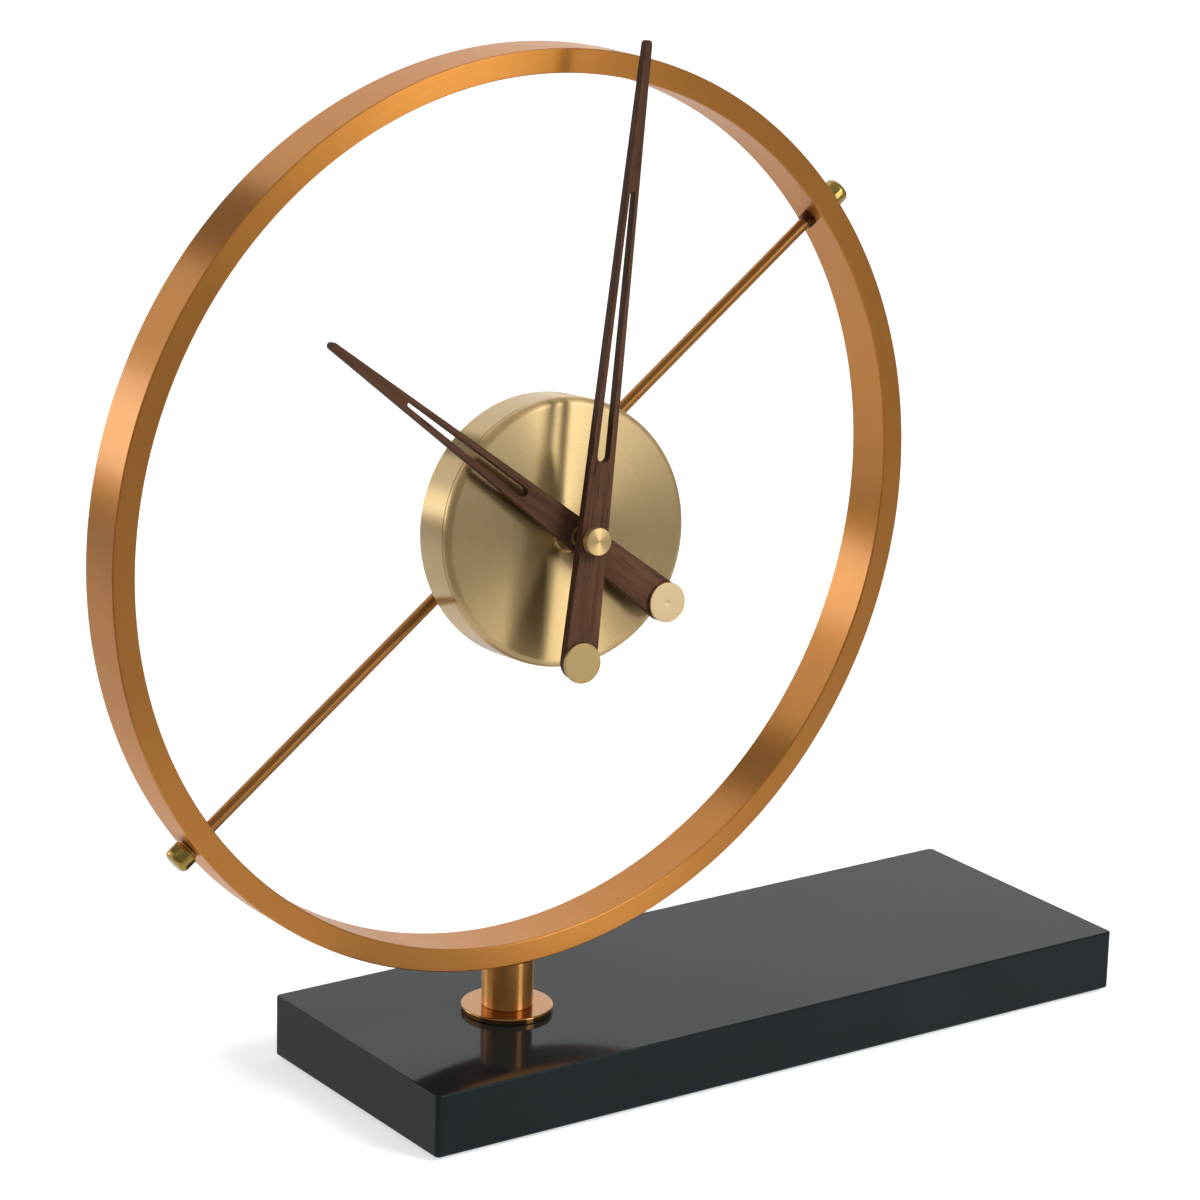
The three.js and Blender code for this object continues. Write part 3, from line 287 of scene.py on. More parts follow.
def stretched(tree, scale, detail=3.0):
    """Noise whose scale differs along the three axes."""
    place = add(tree, "Mapping", {"Vector": here(tree), "Scale": scale}).outputs["Vector"]
    return noise(tree, place, detail)


def spots(tree, scale, detail=3.0):
    """Noise that is alike in all directions."""
    return stretched(tree, (scale, scale, scale), detail)


def grain(tree, across, along, detail):
    """Noise in lines along the Y axis."""
    return stretched(tree, (across, along, across), detail)


def ramp(tree, factor, low, high, start=0.0, end=1.0):
    """A value that runs from low to high while the factor runs from start to end."""
    inputs = {"Value": factor, "From Min": start, "From Max": end, "To Min": low, "To Max": high}
    return add(tree, "MapRange", inputs).outputs["Result"]


def blend(tree, factor, first, second):
    inputs = dict(zip(MIX_INPUTS, (factor, first, second)))
    return add(tree, "Mix", inputs, data_type="RGBA").outputs[MIX_OUTPUT]


def shade(colour, factor):
    return tuple(min(1.0, channel * factor) for channel in colour) + (1.0,)


def bump(tree, shader, height, strength, depth):
    inputs = {"Height": height, "Strength": strength, "Distance": depth * MM}
    tree.links.new(add(tree, "Bump", inputs).outputs["Normal"], shader.inputs["Normal"])


# Brushed lines: their noise's scale along and across them, and the share of height that counts as radius
LENGTHWISE = 18
CROSSWISE = 1600
SIDE_SLANT = 1.37
BRUSH_CONTRAST = 0.11
COAT_ROUGHNESS = 0.15


def turned_streaks(tree):
    """Fine lines that run round the piece's axis, on its ends and on its sides alike."""
    split = add(tree, "SeparateXYZ", {0: here(tree)})
    x, y, z = split.outputs
    flat = add(tree, "CombineXYZ", {0: x, 1: y})
    radius = length(tree, flat.outputs[0])
    slant = calculate(tree, "MULTIPLY", z, SIDE_SLANT)
    across = calculate(tree, "MULTIPLY", calculate(tree, "ADD", radius, slant), CROSSWISE)
    along_x = calculate(tree, "MULTIPLY", x, LENGTHWISE)
    along_y = calculate(tree, "MULTIPLY", y, LENGTHWISE)
    vector = add(tree, "CombineXYZ", {0: along_x, 1: along_y, 2: across})
    return noise(tree, vector.outputs[0])


def straight_streaks(tree):
    """Fine lines along the piece's X axis."""
    return stretched(tree, (LENGTHWISE, CROSSWISE, CROSSWISE))


def brushed(name, colour, roughness, anisotropy, coat=0.0, streaks=turned_streaks, axis="Z", turn=0.25):
    """Metal with fine brushed lines, which spread its reflections across the lines, under as much clear
    lacquer as coat gives.
    """
    material, tree, shader = new_material(
        name, Metallic=1.0, Anisotropic=anisotropy, Anisotropic_Rotation=turn,
        Coat_Weight=coat, Coat_Roughness=COAT_ROUGHNESS,
    )
    tangent = add(tree, "Tangent", direction_type="RADIAL", axis=axis)
    tree.links.new(tangent.outputs[0], shader.inputs["Tangent"])
    lines = streaks(tree)
    cloud = spots(tree, 60, detail=2.0)
    fine = blend(tree, lines, shade(colour, 1 - BRUSH_CONTRAST), shade(colour, 1 + BRUSH_CONTRAST))
    tarnish = ramp(tree, cloud, 0.0, 0.5, start=0.35, end=0.75)
    tree.links.new(blend(tree, tarnish, fine, shade(colour, 0.93)), shader.inputs["Base Color"])
    tree.links.new(ramp(tree, lines, roughness - 0.05, roughness + 0.06), shader.inputs["Roughness"])
    bump(tree, shader, lines, strength=0.25, depth=0.05)
    return material


def polished(name, colour, roughness):
    """Polished metal with faint turning marks and a little variation in its gloss."""
    material, tree, shader = new_material(name, Metallic=1.0)
    lines = turned_streaks(tree)
    cloud = spots(tree, 140)
    tree.links.new(blend(tree, lines, shade(colour, 0.95), shade(colour, 1.05)), shader.inputs["Base Color"])
    tree.links.new(ramp(tree, cloud, roughness * 0.7, roughness * 1.4), shader.inputs["Roughness"])
    bump(tree, shader, lines, strength=0.15, depth=0.02)
    return material


def moulded(name, colour, roughness):
    """Moulded plastic or rubber with a fine even grain."""
    material, tree, shader = new_material(name)
    fine = spots(tree, 900, detail=2.0)
    cloud = spots(tree, 90)
    tree.links.new(blend(tree, cloud, shade(colour, 0.9), shade(colour, 1.1)), shader.inputs["Base Color"])
    tree.links.new(ramp(tree, fine, roughness - 0.06, roughness + 0.08), shader.inputs["Roughness"])
    bump(tree, shader, fine, strength=0.3, depth=0.06)
    return material


WALNUT_DARK = (0.036, 0.0145, 0.0078, 1)
WALNUT_PALE = (0.125, 0.056, 0.027, 1)
WALNUT_TINT = (0.126, 0.052, 0.023, 1)
WALNUT_LINE = (0.05, 0.02, 0.01, 1)
WALNUT_PORE = (0.022, 0.009, 0.006, 1)


def walnut(name):
    """Dark oiled wood whose grain runs along the piece's Y axis."""
    material, tree, shader = new_material(name, Specular_IOR_Level=0.15)
    warp = grain(tree, across=60, along=9, detail=2.0)
    figure = grain(tree, across=420, along=14, detail=4.0)
    fibre = grain(tree, across=2600, along=55, detail=2.0)
    pores = grain(tree, across=1900, along=110, detail=1.0)
    base = blend(tree, ramp(tree, figure, 0.0, 1.0, start=0.3, end=0.7), WALNUT_DARK, WALNUT_PALE)
    tinted = blend(tree, ramp(tree, warp, 0.0, 0.45, start=0.35, end=0.7), base, WALNUT_TINT)
    lined = blend(tree, ramp(tree, fibre, 0.0, 0.55, start=0.35, end=0.75), tinted, WALNUT_LINE)
    pore = ramp(tree, pores, 0.0, 0.85, start=0.62, end=0.72)
    tree.links.new(blend(tree, pore, lined, WALNUT_PORE), shader.inputs["Base Color"])
    tree.links.new(ramp(tree, fibre, 0.5, 0.7), shader.inputs["Roughness"])
    bump(tree, shader, calculate(tree, "SUBTRACT", fibre, pore), strength=0.35, depth=0.08)
    return material


SLATE_DARK = (0.005, 0.0085, 0.0105, 1)
SLATE_PALE = (0.009, 0.0135, 0.016, 1)
SLATE_SPECK = (0.035, 0.04, 0.044, 1)
SLATE_GLOSS = (0.88, 1, 1, 1)


def slate(name):
    """Polished dark stone with faint clouds and a few pale specks."""
    material, tree, shader = new_material(name, Specular_IOR_Level=0.16, Specular_Tint=SLATE_GLOSS)
    cloud = spots(tree, 22, detail=5.0)
    speck = spots(tree, 1400, detail=1.0)
    haze = spots(tree, 60, detail=2.0)
    base = blend(tree, ramp(tree, cloud, 0.0, 1.0, start=0.3, end=0.7), SLATE_DARK, SLATE_PALE)
    spotted = blend(tree, ramp(tree, speck, 0.0, 0.6, start=0.68, end=0.8), base, SLATE_SPECK)
    tree.links.new(spotted, shader.inputs["Base Color"])
    tree.links.new(ramp(tree, haze, 0.06, 0.11), shader.inputs["Roughness"])
    return material


FELT_DARK = (0.006, 0.007, 0.008, 1)
FELT_PALE = (0.028, 0.03, 0.032, 1)
FELT_CLOUD = (0.01, 0.011, 0.012, 1)


def felt(name):
    """Dark felt: matted fibres that catch light at a slant."""
    material, tree, shader = new_material(name, Roughness=0.95, Sheen_Weight=0.4, Sheen_Roughness=0.5)
    fibre = stretched(tree, (1500, 1500, 700), detail=4.0)
    cloud = ramp(tree, spots(tree, 150), 0.0, 0.4)
    tone = blend(tree, fibre, FELT_DARK, FELT_PALE)
    tree.links.new(blend(tree, cloud, tone, FELT_CLOUD), shader.inputs["Base Color"])
    bump(tree, shader, fibre, strength=0.8, depth=0.25)
    return material


WIRE_DARK = (0.2, 0.06, 0.02, 1)
WIRE_PALE = (0.5, 0.2, 0.07, 1)


def winding(name):
    """Rows of fine enamelled copper wire."""
    material, tree, shader = new_material(name, Metallic=0.8, Roughness=0.35)
    inputs = {"Vector": here(tree), "Scale": 900.0, "Distortion": 0.4}
    rows = add(tree, "TexWave", inputs, bands_direction="DIAGONAL").outputs["Fac"]
    tree.links.new(blend(tree, rows, WIRE_DARK, WIRE_PALE), shader.inputs["Base Color"])
    bump(tree, shader, rows, strength=0.6, depth=0.1)
    return material


LACQUER_DARK = (0.012, 0.07, 0.03, 1)
LACQUER_PALE = (0.025, 0.11, 0.05, 1)
TRACK_GREEN = (0.05, 0.16, 0.08, 1)


def circuit(name):
    """Green lacquer over faint copper tracks."""
    material, tree, shader = new_material(name, Coat_Weight=0.3)
    tracks = add(tree, "TexBrick", {"Vector": here(tree), "Scale": 420.0}).outputs["Fac"]
    weave = spots(tree, 800)
    green = blend(tree, weave, LACQUER_DARK, LACQUER_PALE)
    tree.links.new(blend(tree, tracks, green, TRACK_GREEN), shader.inputs["Base Color"])
    tree.links.new(ramp(tree, weave, 0.35, 0.5), shader.inputs["Roughness"])
    return material


# Materials
COPPER = (0.67, 0.272, 0.05)
POST_COPPER = (0.70, 0.34, 0.10)
FLANGE_COPPER = (0.52, 0.245, 0.075)
ROD_COPPER = (0.45, 0.205, 0.06)
BRASS = (0.70, 0.50, 0.225)
# The hour disc's brass is BRASS made paler: painted light, for the brighter look that one brass has at this
# disc's tilt
PAINTED_LIGHT_HOUR_BRASS = (0.80, 0.61, 0.34)
# The minute disc's brass is BRASS made darker: painted shade, for the darker look that one brass has at this
# disc's tilt
PAINTED_SHADE_MINUTE_BRASS = (0.56, 0.405, 0.18)
NUT_BRASS = (0.43, 0.295, 0.075)
DARK_METAL = (0.10, 0.055, 0.03)
ZINC = (0.52, 0.53, 0.55)
JACKET = (0.27, 0.28, 0.30)
BLACK = (0.011, 0.011, 0.012)
WHITE = (0.72, 0.70, 0.64)
RUBBER = (0.009, 0.009, 0.009)

satin_copper = brushed("satin_copper", COPPER, roughness=0.38, anisotropy=0.92, coat=0.4)
polished_copper = brushed("polished_copper", POST_COPPER, roughness=0.38, anisotropy=1.0)
flange_copper = brushed("flange_copper", FLANGE_COPPER, roughness=0.12, anisotropy=0.0, coat=0.4)
rod_copper = brushed("rod_copper", ROD_COPPER, roughness=0.3, anisotropy=0.95)
drum_brass = brushed("drum_brass", BRASS, roughness=0.34, anisotropy=1.0, coat=0.6)
hand_brass = brushed("hand_brass", BRASS, roughness=0.36, anisotropy=0.85)
# Painted light: the hour disc's brass is paler than BRASS
painted_light_hour_brass = brushed("painted_light_hour_brass", PAINTED_LIGHT_HOUR_BRASS, roughness=0.4, anisotropy=0.0)
# Painted shade: the minute disc's brass is darker than BRASS
painted_shade_minute_brass = brushed("painted_shade_minute_brass", PAINTED_SHADE_MINUTE_BRASS, roughness=0.4, anisotropy=0.0)
strap_brass = brushed(
    "strap_brass", BRASS, roughness=0.35, anisotropy=0.5, streaks=straight_streaks, axis="X", turn=0.0,
)
nut_brass = polished("nut_brass", NUT_BRASS, roughness=0.16)
dark_metal = brushed("dark_metal", DARK_METAL, roughness=0.32, anisotropy=0.3)
zinc = brushed("zinc", ZINC, roughness=0.32, anisotropy=0.2)
hand_walnut = walnut("hand_walnut")
stone = slate("stone")
pad_felt = felt("pad_felt")
black_plastic = moulded("black_plastic", BLACK, roughness=0.45)
white_plastic = moulded("white_plastic", WHITE, roughness=0.4)
rubber = moulded("rubber", RUBBER, roughness=0.75)
board_lacquer = circuit("board_lacquer")
coil_wire = winding("coil_wire")
cell_jacket = brushed("cell_jacket", JACKET, roughness=0.3, anisotropy=0.3)

# Sizes that several pieces share: gaps between seated pieces, overlaps of joined ones, holes' radii
SEAT_GAP = 0.25
OVERLAP = 0.5
ROD_HOLE = 2.2
SCREW_HOLE = 1.7
STUD_HOLE = 2.7

# Slab and felt sheet
SLAB_HALF_LENGTH, SLAB_HALF_WIDTH = 140, 50
SLAB_LOW, SLAB_HIGH = 1.2, 22.2
SLAB_CORNER, SLAB_EDGE = 1.6, 0.55
BOLT_HOLE, BOLT_HOLE_TOP = 3.2, 30
RECESS_RADIUS, RECESS_TOP = 9, 9.0
PAD_INSET, PAD_CORNER, PAD_EDGE = 3, 3, 0.35

slab_outline = plate_outline(SLAB_HALF_LENGTH, SLAB_HALF_WIDTH, SLAB_CORNER)
slab = extruded("slab", [slab_outline], SLAB_LOW, SLAB_HIGH, SLAB_EDGE, LEVEL, steps=6)
carve(slab, [bar(BOLT_HOLE, 0, BOLT_HOLE_TOP, STAND), bar(RECESS_RADIUS, 0, RECESS_TOP, STAND)])
dress(slab, "base_slab", stone)
pad_outline = plate_outline(SLAB_HALF_LENGTH - PAD_INSET, SLAB_HALF_WIDTH - PAD_INSET, PAD_CORNER)
pad = extruded("felt_sheet", [pad_outline], 0, SLAB_LOW, PAD_EDGE, LEVEL)
dress(pad, "base_pad", pad_felt)

# Flange and post
FLANGE_RADIUS, FLANGE_TOP = 15.25, 24.4
FLANGE_LOWER_EDGE, FLANGE_UPPER_EDGE = 0.35, 0.5
POST_RADIUS, POST_TOP, POST_EDGE = 8.5, 40.75, 0.4
BOLT_END, STUD_START = 31.65, 36.25
POST_SIDES = 128

flange_corners = block_corners(BOLT_HOLE, FLANGE_RADIUS, SLAB_HIGH, FLANGE_TOP)
flange_profile = rounded(flange_corners, {1: FLANGE_LOWER_EDGE, 2: FLANGE_UPPER_EDGE})
flange = turned("flange", flange_profile, STAND, POST_SIDES)
dress(flange, "post_flange", flange_copper)
post_corners = [
    (0, BOLT_END), (BOLT_HOLE, BOLT_END), (BOLT_HOLE, FLANGE_TOP), (POST_RADIUS, FLANGE_TOP),
    (POST_RADIUS, POST_TOP), (STUD_HOLE, POST_TOP), (STUD_HOLE, STUD_START), (0, STUD_START),
]
column = turned("column", rounded(post_corners, {3: POST_EDGE, 4: POST_EDGE}), STAND, POST_SIDES)
dress(column, "post", polished_copper)

# Ring with its holes for the rod and the stud
RING_INNER, RING_OUTER, RING_HALF = 142.2, 150, 8.5
RING_EDGE, RING_SIDES = 0.5, 288
STUD_HOLE_START, STUD_HOLE_END = 145.25, 152
ROD_WAY_REACH = 160

rod_way = ACROSS @ spin(90, "Y")
stud_way = DIAL @ spin(90, "X")
ring_corners = block_corners(RING_INNER, RING_OUTER, -RING_HALF, RING_HALF)
hoop = turned("hoop", rounded(ring_corners, every_corner(RING_EDGE)), DIAL, RING_SIDES)
carve(hoop, [
    bar(ROD_HOLE, -ROD_WAY_REACH, ROD_WAY_REACH, rod_way),
    bar(STUD_HOLE, STUD_HOLE_START, STUD_HOLE_END, stud_way),
])
dress(hoop, "ring", satin_copper)

# Rod, nuts and collars
ROD_RADIUS, ROD_END, ROD_EDGE = 2, 154.25, 0.4
NUT_RADIUS, NUT_LENGTH, NUT_ROUNDING = 4.3, 6.5, 1.8
NUT_NECK, NECK_EDGE, NECK_END = 3.5, 0.2, 0.75
NUT_BORE_END = 4.25
NUT_SHOULDER = [(3.75, 0.85), (4.05, 0.9), (4.25, 1.05), (4.3, 1.3)]
NUT_LEVELS = (2.2, 3.2, 4.2)
KNURL_TEETH, KNURL_DEPTH = 30, 0.04
KNURL_INNER, KNURL_LOW, KNURL_HIGH = 3.9, 1.0, 5.4
COLLAR_EDGES = {1: 0.1, 2: 0.2}
SMALL_SIDES = 48

rod_corners = block_corners(0, ROD_RADIUS, -ROD_END, ROD_END)
rod = turned("rod", rounded(rod_corners, {1: ROD_EDGE, 2: ROD_EDGE}), rod_way, SMALL_SIDES)
dress(rod, "cross_rod", rod_copper)


def knurl(radius, height, turn):
    """Grooves round the nut's side, between its neck and its rounded end."""
    if radius < KNURL_INNER or not KNURL_LOW < height < KNURL_HIGH:
        return 0
    return KNURL_DEPTH * (0.5 - 0.5 * math.cos(KNURL_TEETH * turn))


nut_profile = [
    (0, NUT_BORE_END), (ROD_HOLE, NUT_BORE_END), (ROD_HOLE, 0),
    (NUT_NECK - NECK_EDGE, 0), (NUT_NECK, NECK_EDGE), (NUT_NECK, NECK_END),
]
nut_profile += NUT_SHOULDER + [(NUT_RADIUS, height) for height in NUT_LEVELS]
nut_profile += arc(NUT_RADIUS - NUT_ROUNDING, NUT_LENGTH - NUT_ROUNDING, NUT_ROUNDING, 0, 90, 8)
nut_profile.append((0, NUT_LENGTH))
for end, side, collar_radius, collar_length, collar_metal in (
    ("lower", -1, 2.45, 0.8, rod_copper), ("upper", 1, 2.7, 2.4, dark_metal),
):
    outside = ACROSS @ shift(side * (RING_OUTER + SEAT_GAP), 0, 0) @ spin(side * 90, "Y")
    nut = turned("dome_nut_" + end, nut_profile, outside, 4 * KNURL_TEETH, knurl)
    dress(nut, "rod_nut_" + end, nut_brass)
    inside = ACROSS @ shift(side * (RING_INNER - SEAT_GAP), 0, 0) @ spin(-side * 90, "Y")
    collar_profile = rounded(block_corners(ROD_HOLE, collar_radius, 0, collar_length), COLLAR_EDGES)
    collar = turned("lock_collar_" + end, collar_profile, inside, SMALL_SIDES)
    dress(collar, "rod_collar_" + end, collar_metal)

# Drum: a spun cup with a rolled front edge, and two lugs inside its rim in line with the rod
DRUM_OUTER, DRUM_INNER = 42.7, 41.7
DRUM_BACK, DRUM_INSIDE, DRUM_FRONT = 11.75, 28.65, 29.65
DRUM_ROUNDINGS = {0: 0.2, 1: 0.3, 2: 2.5, 5: 1.5}
DRUM_SIDES = 224
DIAL_HOLE = 4.2
GROOVE_LOW, GROOVE_HIGH = 26.5, 27.0
GROOVE_DEPTH, GROOVE_SLOPE = 0.25, 0.1
LUG_AT, LUG_INNER = 35.4, 31.75
LUG_LOW, LUG_HIGH, LUG_EDGE = 12.0, 16.0, 0.3
STRAP_HALF, STRAP_CORNER = 5, 1

cup_corners = [
    (DRUM_INNER, DRUM_BACK), (DRUM_OUTER, DRUM_BACK), (DRUM_OUTER, DRUM_FRONT), (DIAL_HOLE, DRUM_FRONT),
    (DIAL_HOLE, DRUM_INSIDE), (DRUM_INNER, DRUM_INSIDE),
]
cup_profile = rounded(cup_corners, DRUM_ROUNDINGS, 8)
groove = [
    (DRUM_OUTER, GROOVE_LOW), (DRUM_OUTER - GROOVE_DEPTH, GROOVE_LOW + GROOVE_SLOPE),
    (DRUM_OUTER - GROOVE_DEPTH, GROOVE_HIGH - GROOVE_SLOPE), (DRUM_OUTER, GROOVE_HIGH),
]
edge_start = next(number for number, point in enumerate(cup_profile) if point[1] > GROOVE_HIGH)
cup = turned("cup", cup_profile[:edge_start] + groove + cup_profile[edge_start:], WORKS, DRUM_SIDES)
lug_corners = block_corners(LUG_INNER, DRUM_INNER + OVERLAP, -STRAP_HALF, STRAP_HALF)
lug_outline = rounded(lug_corners, {0: STRAP_CORNER, 3: STRAP_CORNER})
lug_outlines = [lug_outline, hole(LUG_AT, SCREW_HOLE)]
lugs = [
    extruded("tool", lug_outlines, LUG_LOW, LUG_HIGH, LUG_EDGE, WORKS @ spin(turn, "Z"))
    for turn in (0, 180)
]
carve(cup, lugs, "UNION")
dress(cup, "drum", drum_brass)

# Bridge behind the movement: a strap with a foot at each end, and a block that is bored for the rod
STRAP_BACK, STRAP_FRONT, STRAP_REACH, STRAP_EDGE = 5.6, 7.6, 39.05, 0.3
FOOT_EDGE = 0.05
BLOCK_HALF_X, BLOCK_HALF_Y, BLOCK_BACK = 9, 6, -5
BLOCK_CORNER, BLOCK_EDGE = 1.5, 0.5
ROD_BORE_REACH = 20
SET_HOLE_BACK = -6
FOOT_HOLE_END = 14

strap_outline = plate_outline(STRAP_REACH, STRAP_HALF, STRAP_CORNER)
bridge = extruded("bridge", [strap_outline], STRAP_BACK, STRAP_FRONT, STRAP_EDGE, WORKS)
foot_corners = block_corners(LUG_INNER, STRAP_REACH, -STRAP_HALF, STRAP_HALF)
foot_outline = rounded(foot_corners, {1: STRAP_CORNER, 2: STRAP_CORNER})
feet = [
    extruded("tool", [foot_outline], STRAP_FRONT - OVERLAP, DRUM_BACK, FOOT_EDGE, WORKS @ spin(turn, "Z"))
    for turn in (0, 180)
]
block_outline = plate_outline(BLOCK_HALF_X, BLOCK_HALF_Y, BLOCK_CORNER)
block = extruded("tool", [block_outline], BLOCK_BACK, STRAP_BACK + OVERLAP, BLOCK_EDGE, LEANING)
carve(bridge, feet + [block], "UNION")
carve(bridge, [
    bar(ROD_HOLE, -ROD_BORE_REACH, ROD_BORE_REACH, rod_way),
    bar(SCREW_HOLE, SET_HOLE_BACK, 0, LEANING),
    bar(SCREW_HOLE, 0, FOOT_HOLE_END, WORKS @ shift(LUG_AT, 0, 0)),
    bar(SCREW_HOLE, 0, FOOT_HOLE_END, WORKS @ shift(-LUG_AT, 0, 0)),
])
dress(bridge, "rod_bridge", strap_brass)

# Screws: the block's has a six-sided socket, and the strap's two have slotted heads
SCREW_RADIUS = 1.5
SET_SCREW_EDGE = 0.25
KEY_ACROSS_FLATS, KEY_END = 1.5, -3.5
HEAD_RADIUS, HEAD_HEIGHT, HEAD_ROUNDING, TIP_EDGE = 2.75, 1.8, 0.6, 0.3
SLOT_HALF_LENGTH, SLOT_HALF_WIDTH = 4, 0.4
SLOT_BACK, SLOT_DEPTH, SLOT_EDGE = 2, 0.8, 0.02
SCREW_SIDES = 64

set_corners = block_corners(0, SCREW_RADIUS, BLOCK_BACK, -ROD_RADIUS - SEAT_GAP)
set_screw = turned("grub_screw", rounded(set_corners, {1: SET_SCREW_EDGE}), LEANING, SMALL_SIDES)
carve(set_screw, [bar(KEY_ACROSS_FLATS / math.sqrt(3), SET_HOLE_BACK, KEY_END, LEANING, sides=6)])
dress(set_screw, "rod_set_screw", zinc)

head_front = STRAP_BACK - SEAT_GAP
head_back = head_front - HEAD_HEIGHT
screw_corners = [
    (0, head_back), (HEAD_RADIUS, head_back), (HEAD_RADIUS, head_front), (SCREW_RADIUS, head_front),
    (SCREW_RADIUS, LUG_HIGH), (0, LUG_HIGH),
]
slot_corners = block_corners(-SLOT_HALF_LENGTH, SLOT_HALF_LENGTH, -SLOT_HALF_WIDTH, SLOT_HALF_WIDTH)
for end, side in (("lower", -1), ("upper", 1)):
    at = WORKS @ shift(side * LUG_AT, 0, 0)
    screw_profile = rounded(screw_corners, {1: HEAD_ROUNDING, 4: TIP_EDGE})
    screw = turned("strap_screw_" + end, screw_profile, at, SCREW_SIDES)
    carve(screw, [extruded("tool", [slot_corners], SLOT_BACK, head_back + SLOT_DEPTH, SLOT_EDGE, at)])
    dress(screw, "bridge_screw_" + end, zinc)

# Movement's back cover with the cell's bay
CASE_HALF, CASE_CORNER, CASE_INNER = 28, 3.5, 26.5
CASE_BACK, CASE_SPLIT, CASE_WALL, CASE_EDGE = 10.85, 18.1, 1.5, 0.4
BAY_TOP, BAY_CORNER = -11.5, 1.25
POCKET_LOW, POCKET_CORNER, POCKET_END, POCKET_EDGE = -10.5, 2, 25, 0.02
KNOB_X, KNOB_Y = -5.1075, 8.8465
KNOB_BORE = 1.4
SHAFT_HOLE_LOW, SHAFT_HOLE_HIGH = 8, 15

knob_place = WORKS @ shift(KNOB_X, KNOB_Y, 0)
bay_corners = block_corners(-CASE_INNER, CASE_INNER, -CASE_INNER, BAY_TOP)
pocket_corners = block_corners(-CASE_INNER, CASE_INNER, POCKET_LOW, CASE_INNER)
pocket_outline = rounded(pocket_corners, every_corner(POCKET_CORNER))
case_outline = plate_outline(CASE_HALF, CASE_HALF, CASE_CORNER)
bay_outline = rounded(bay_corners, every_corner(BAY_CORNER))
cover = extruded("cover", [case_outline, bay_outline], CASE_BACK, CASE_SPLIT, CASE_EDGE, WORKS)
carve(cover, [
    extruded("tool", [pocket_outline], CASE_BACK + CASE_WALL, POCKET_END, POCKET_EDGE, WORKS),
    bar(KNOB_BORE, SHAFT_HOLE_LOW, SHAFT_HOLE_HIGH, knob_place),
])
dress(cover, "movement_back", black_plastic)

# Setting knob
KNOB_RADIUS, KNOB_BACK, KNOB_FRONT, KNOB_BORE_END = 6, 8.2, 10.6, 9.15
KNOB_EDGES = {1: 0.5, 2: 0.3}
NOTCHES, NOTCH_DEPTH, NOTCH_INNER = 20, 0.5, 5.2


def notch(radius, height, turn):
    """Rounded finger notches round the knob's rim."""
    return NOTCH_DEPTH * (0.5 - 0.5 * math.cos(NOTCHES * turn)) if radius > NOTCH_INNER else 0


knob_corners = [
    (0, KNOB_BACK), (KNOB_RADIUS, KNOB_BACK), (KNOB_RADIUS, KNOB_FRONT), (KNOB_BORE, KNOB_FRONT),
    (KNOB_BORE, KNOB_BORE_END), (0, KNOB_BORE_END),
]
knob = turned("finger_knob", rounded(knob_corners, KNOB_EDGES), knob_place, 8 * NOTCHES, notch)
dress(knob, "setting_knob", black_plastic, body="setting")

# Cell, lying across the bay
CELL_RADIUS, CELL_HALF = 7.15, 25.25
BUTTON_RADIUS, BUTTON_HIGH = 2.75, 1
CELL_EDGE, BUTTON_EDGE = 0.8, 0.4
CELL_Y, CELL_Z = -19, 18.35

shoulder = CELL_HALF - BUTTON_HIGH
cell_corners = [
    (0, -CELL_HALF), (CELL_RADIUS, -CELL_HALF), (CELL_RADIUS, shoulder), (BUTTON_RADIUS, shoulder),
    (BUTTON_RADIUS, CELL_HALF), (0, CELL_HALF),
]
cell_profile = rounded(cell_corners, {1: CELL_EDGE, 2: CELL_EDGE, 4: BUTTON_EDGE})
battery = turned("battery", cell_profile, WORKS @ shift(0, CELL_Y, CELL_Z) @ spin(90, "Y"))
dress(battery, "cell", cell_jacket)

# Bushing and dial nut in front of the drum
BUSHING_BORE, BUSHING_RADIUS, BUSHING_FLANGE = 2.7, 4, 6
BUSHING_BACK, BUSHING_FLANGE_FRONT, BUSHING_FRONT = 25, 25.6, 34.2
BUSHING_EDGE, BUSHING_SIDES = 0.3, 64
DIAL_NUT_RADIUS, DIAL_NUT_THICK = 5.75, 1.8
DIAL_NUT_EDGES = {1: 0.3, 2: 0.45}

bushing_corners = [
    (BUSHING_BORE, BUSHING_BACK), (BUSHING_FLANGE, BUSHING_BACK), (BUSHING_FLANGE, BUSHING_FLANGE_FRONT),
    (BUSHING_RADIUS, BUSHING_FLANGE_FRONT), (BUSHING_RADIUS, BUSHING_FRONT), (BUSHING_BORE, BUSHING_FRONT),
]
bushing = turned("bushing", rounded(bushing_corners, {4: BUSHING_EDGE}), FACE, BUSHING_SIDES)
dress(bushing, "threaded_bushing", hand_brass)
dial_nut_back = DRUM_FRONT + SEAT_GAP
dial_nut_corners = block_corners(DIAL_HOLE, DIAL_NUT_RADIUS, dial_nut_back, dial_nut_back + DIAL_NUT_THICK)
face_nut = turned("face_nut", rounded(dial_nut_corners, DIAL_NUT_EDGES), FACE)
dress(face_nut, "dial_nut", hand_brass)

# Hands with their bushes and tail discs
HAND_THICK, HAND_EDGE = 3.2, 0.25
BUSH_WALL, BUSH_LIP, BUSH_FLANGE_THICK = 1, 1.2, 0.8
BUSH_EDGE, BUSH_CLEARANCE = 0.2, 0.2
DISC_RADIUS, DISC_THICK = 6.4, 1
DISC_EDGES = {1: 0.15, 2: 0.25}
# A dimple's points from its rim to its middle: the share of its radius, and the depth
DIMPLE = ((1.0, 0), (0.4, 0.12), (0, 0.16))


def hand_outlines(reach, tip_width, tail, tail_width, slot_far, far_width, slot_near, near_width):
    """A straight taper between two round ends and its tapered slot, drawn pointing up."""
    tip, end = tip_width / 2, tail_width / 2
    far, near = far_width / 2, near_width / 2
    rim = arc(0, reach - tip, tip, 0, 180, 16) + arc(0, -tail, end, 180, 360, 32)
    slot = arc(0, slot_far - far, far, 180, 0, 12) + arc(0, slot_near + near, near, 0, -180, 16)
    return [rim, slot]


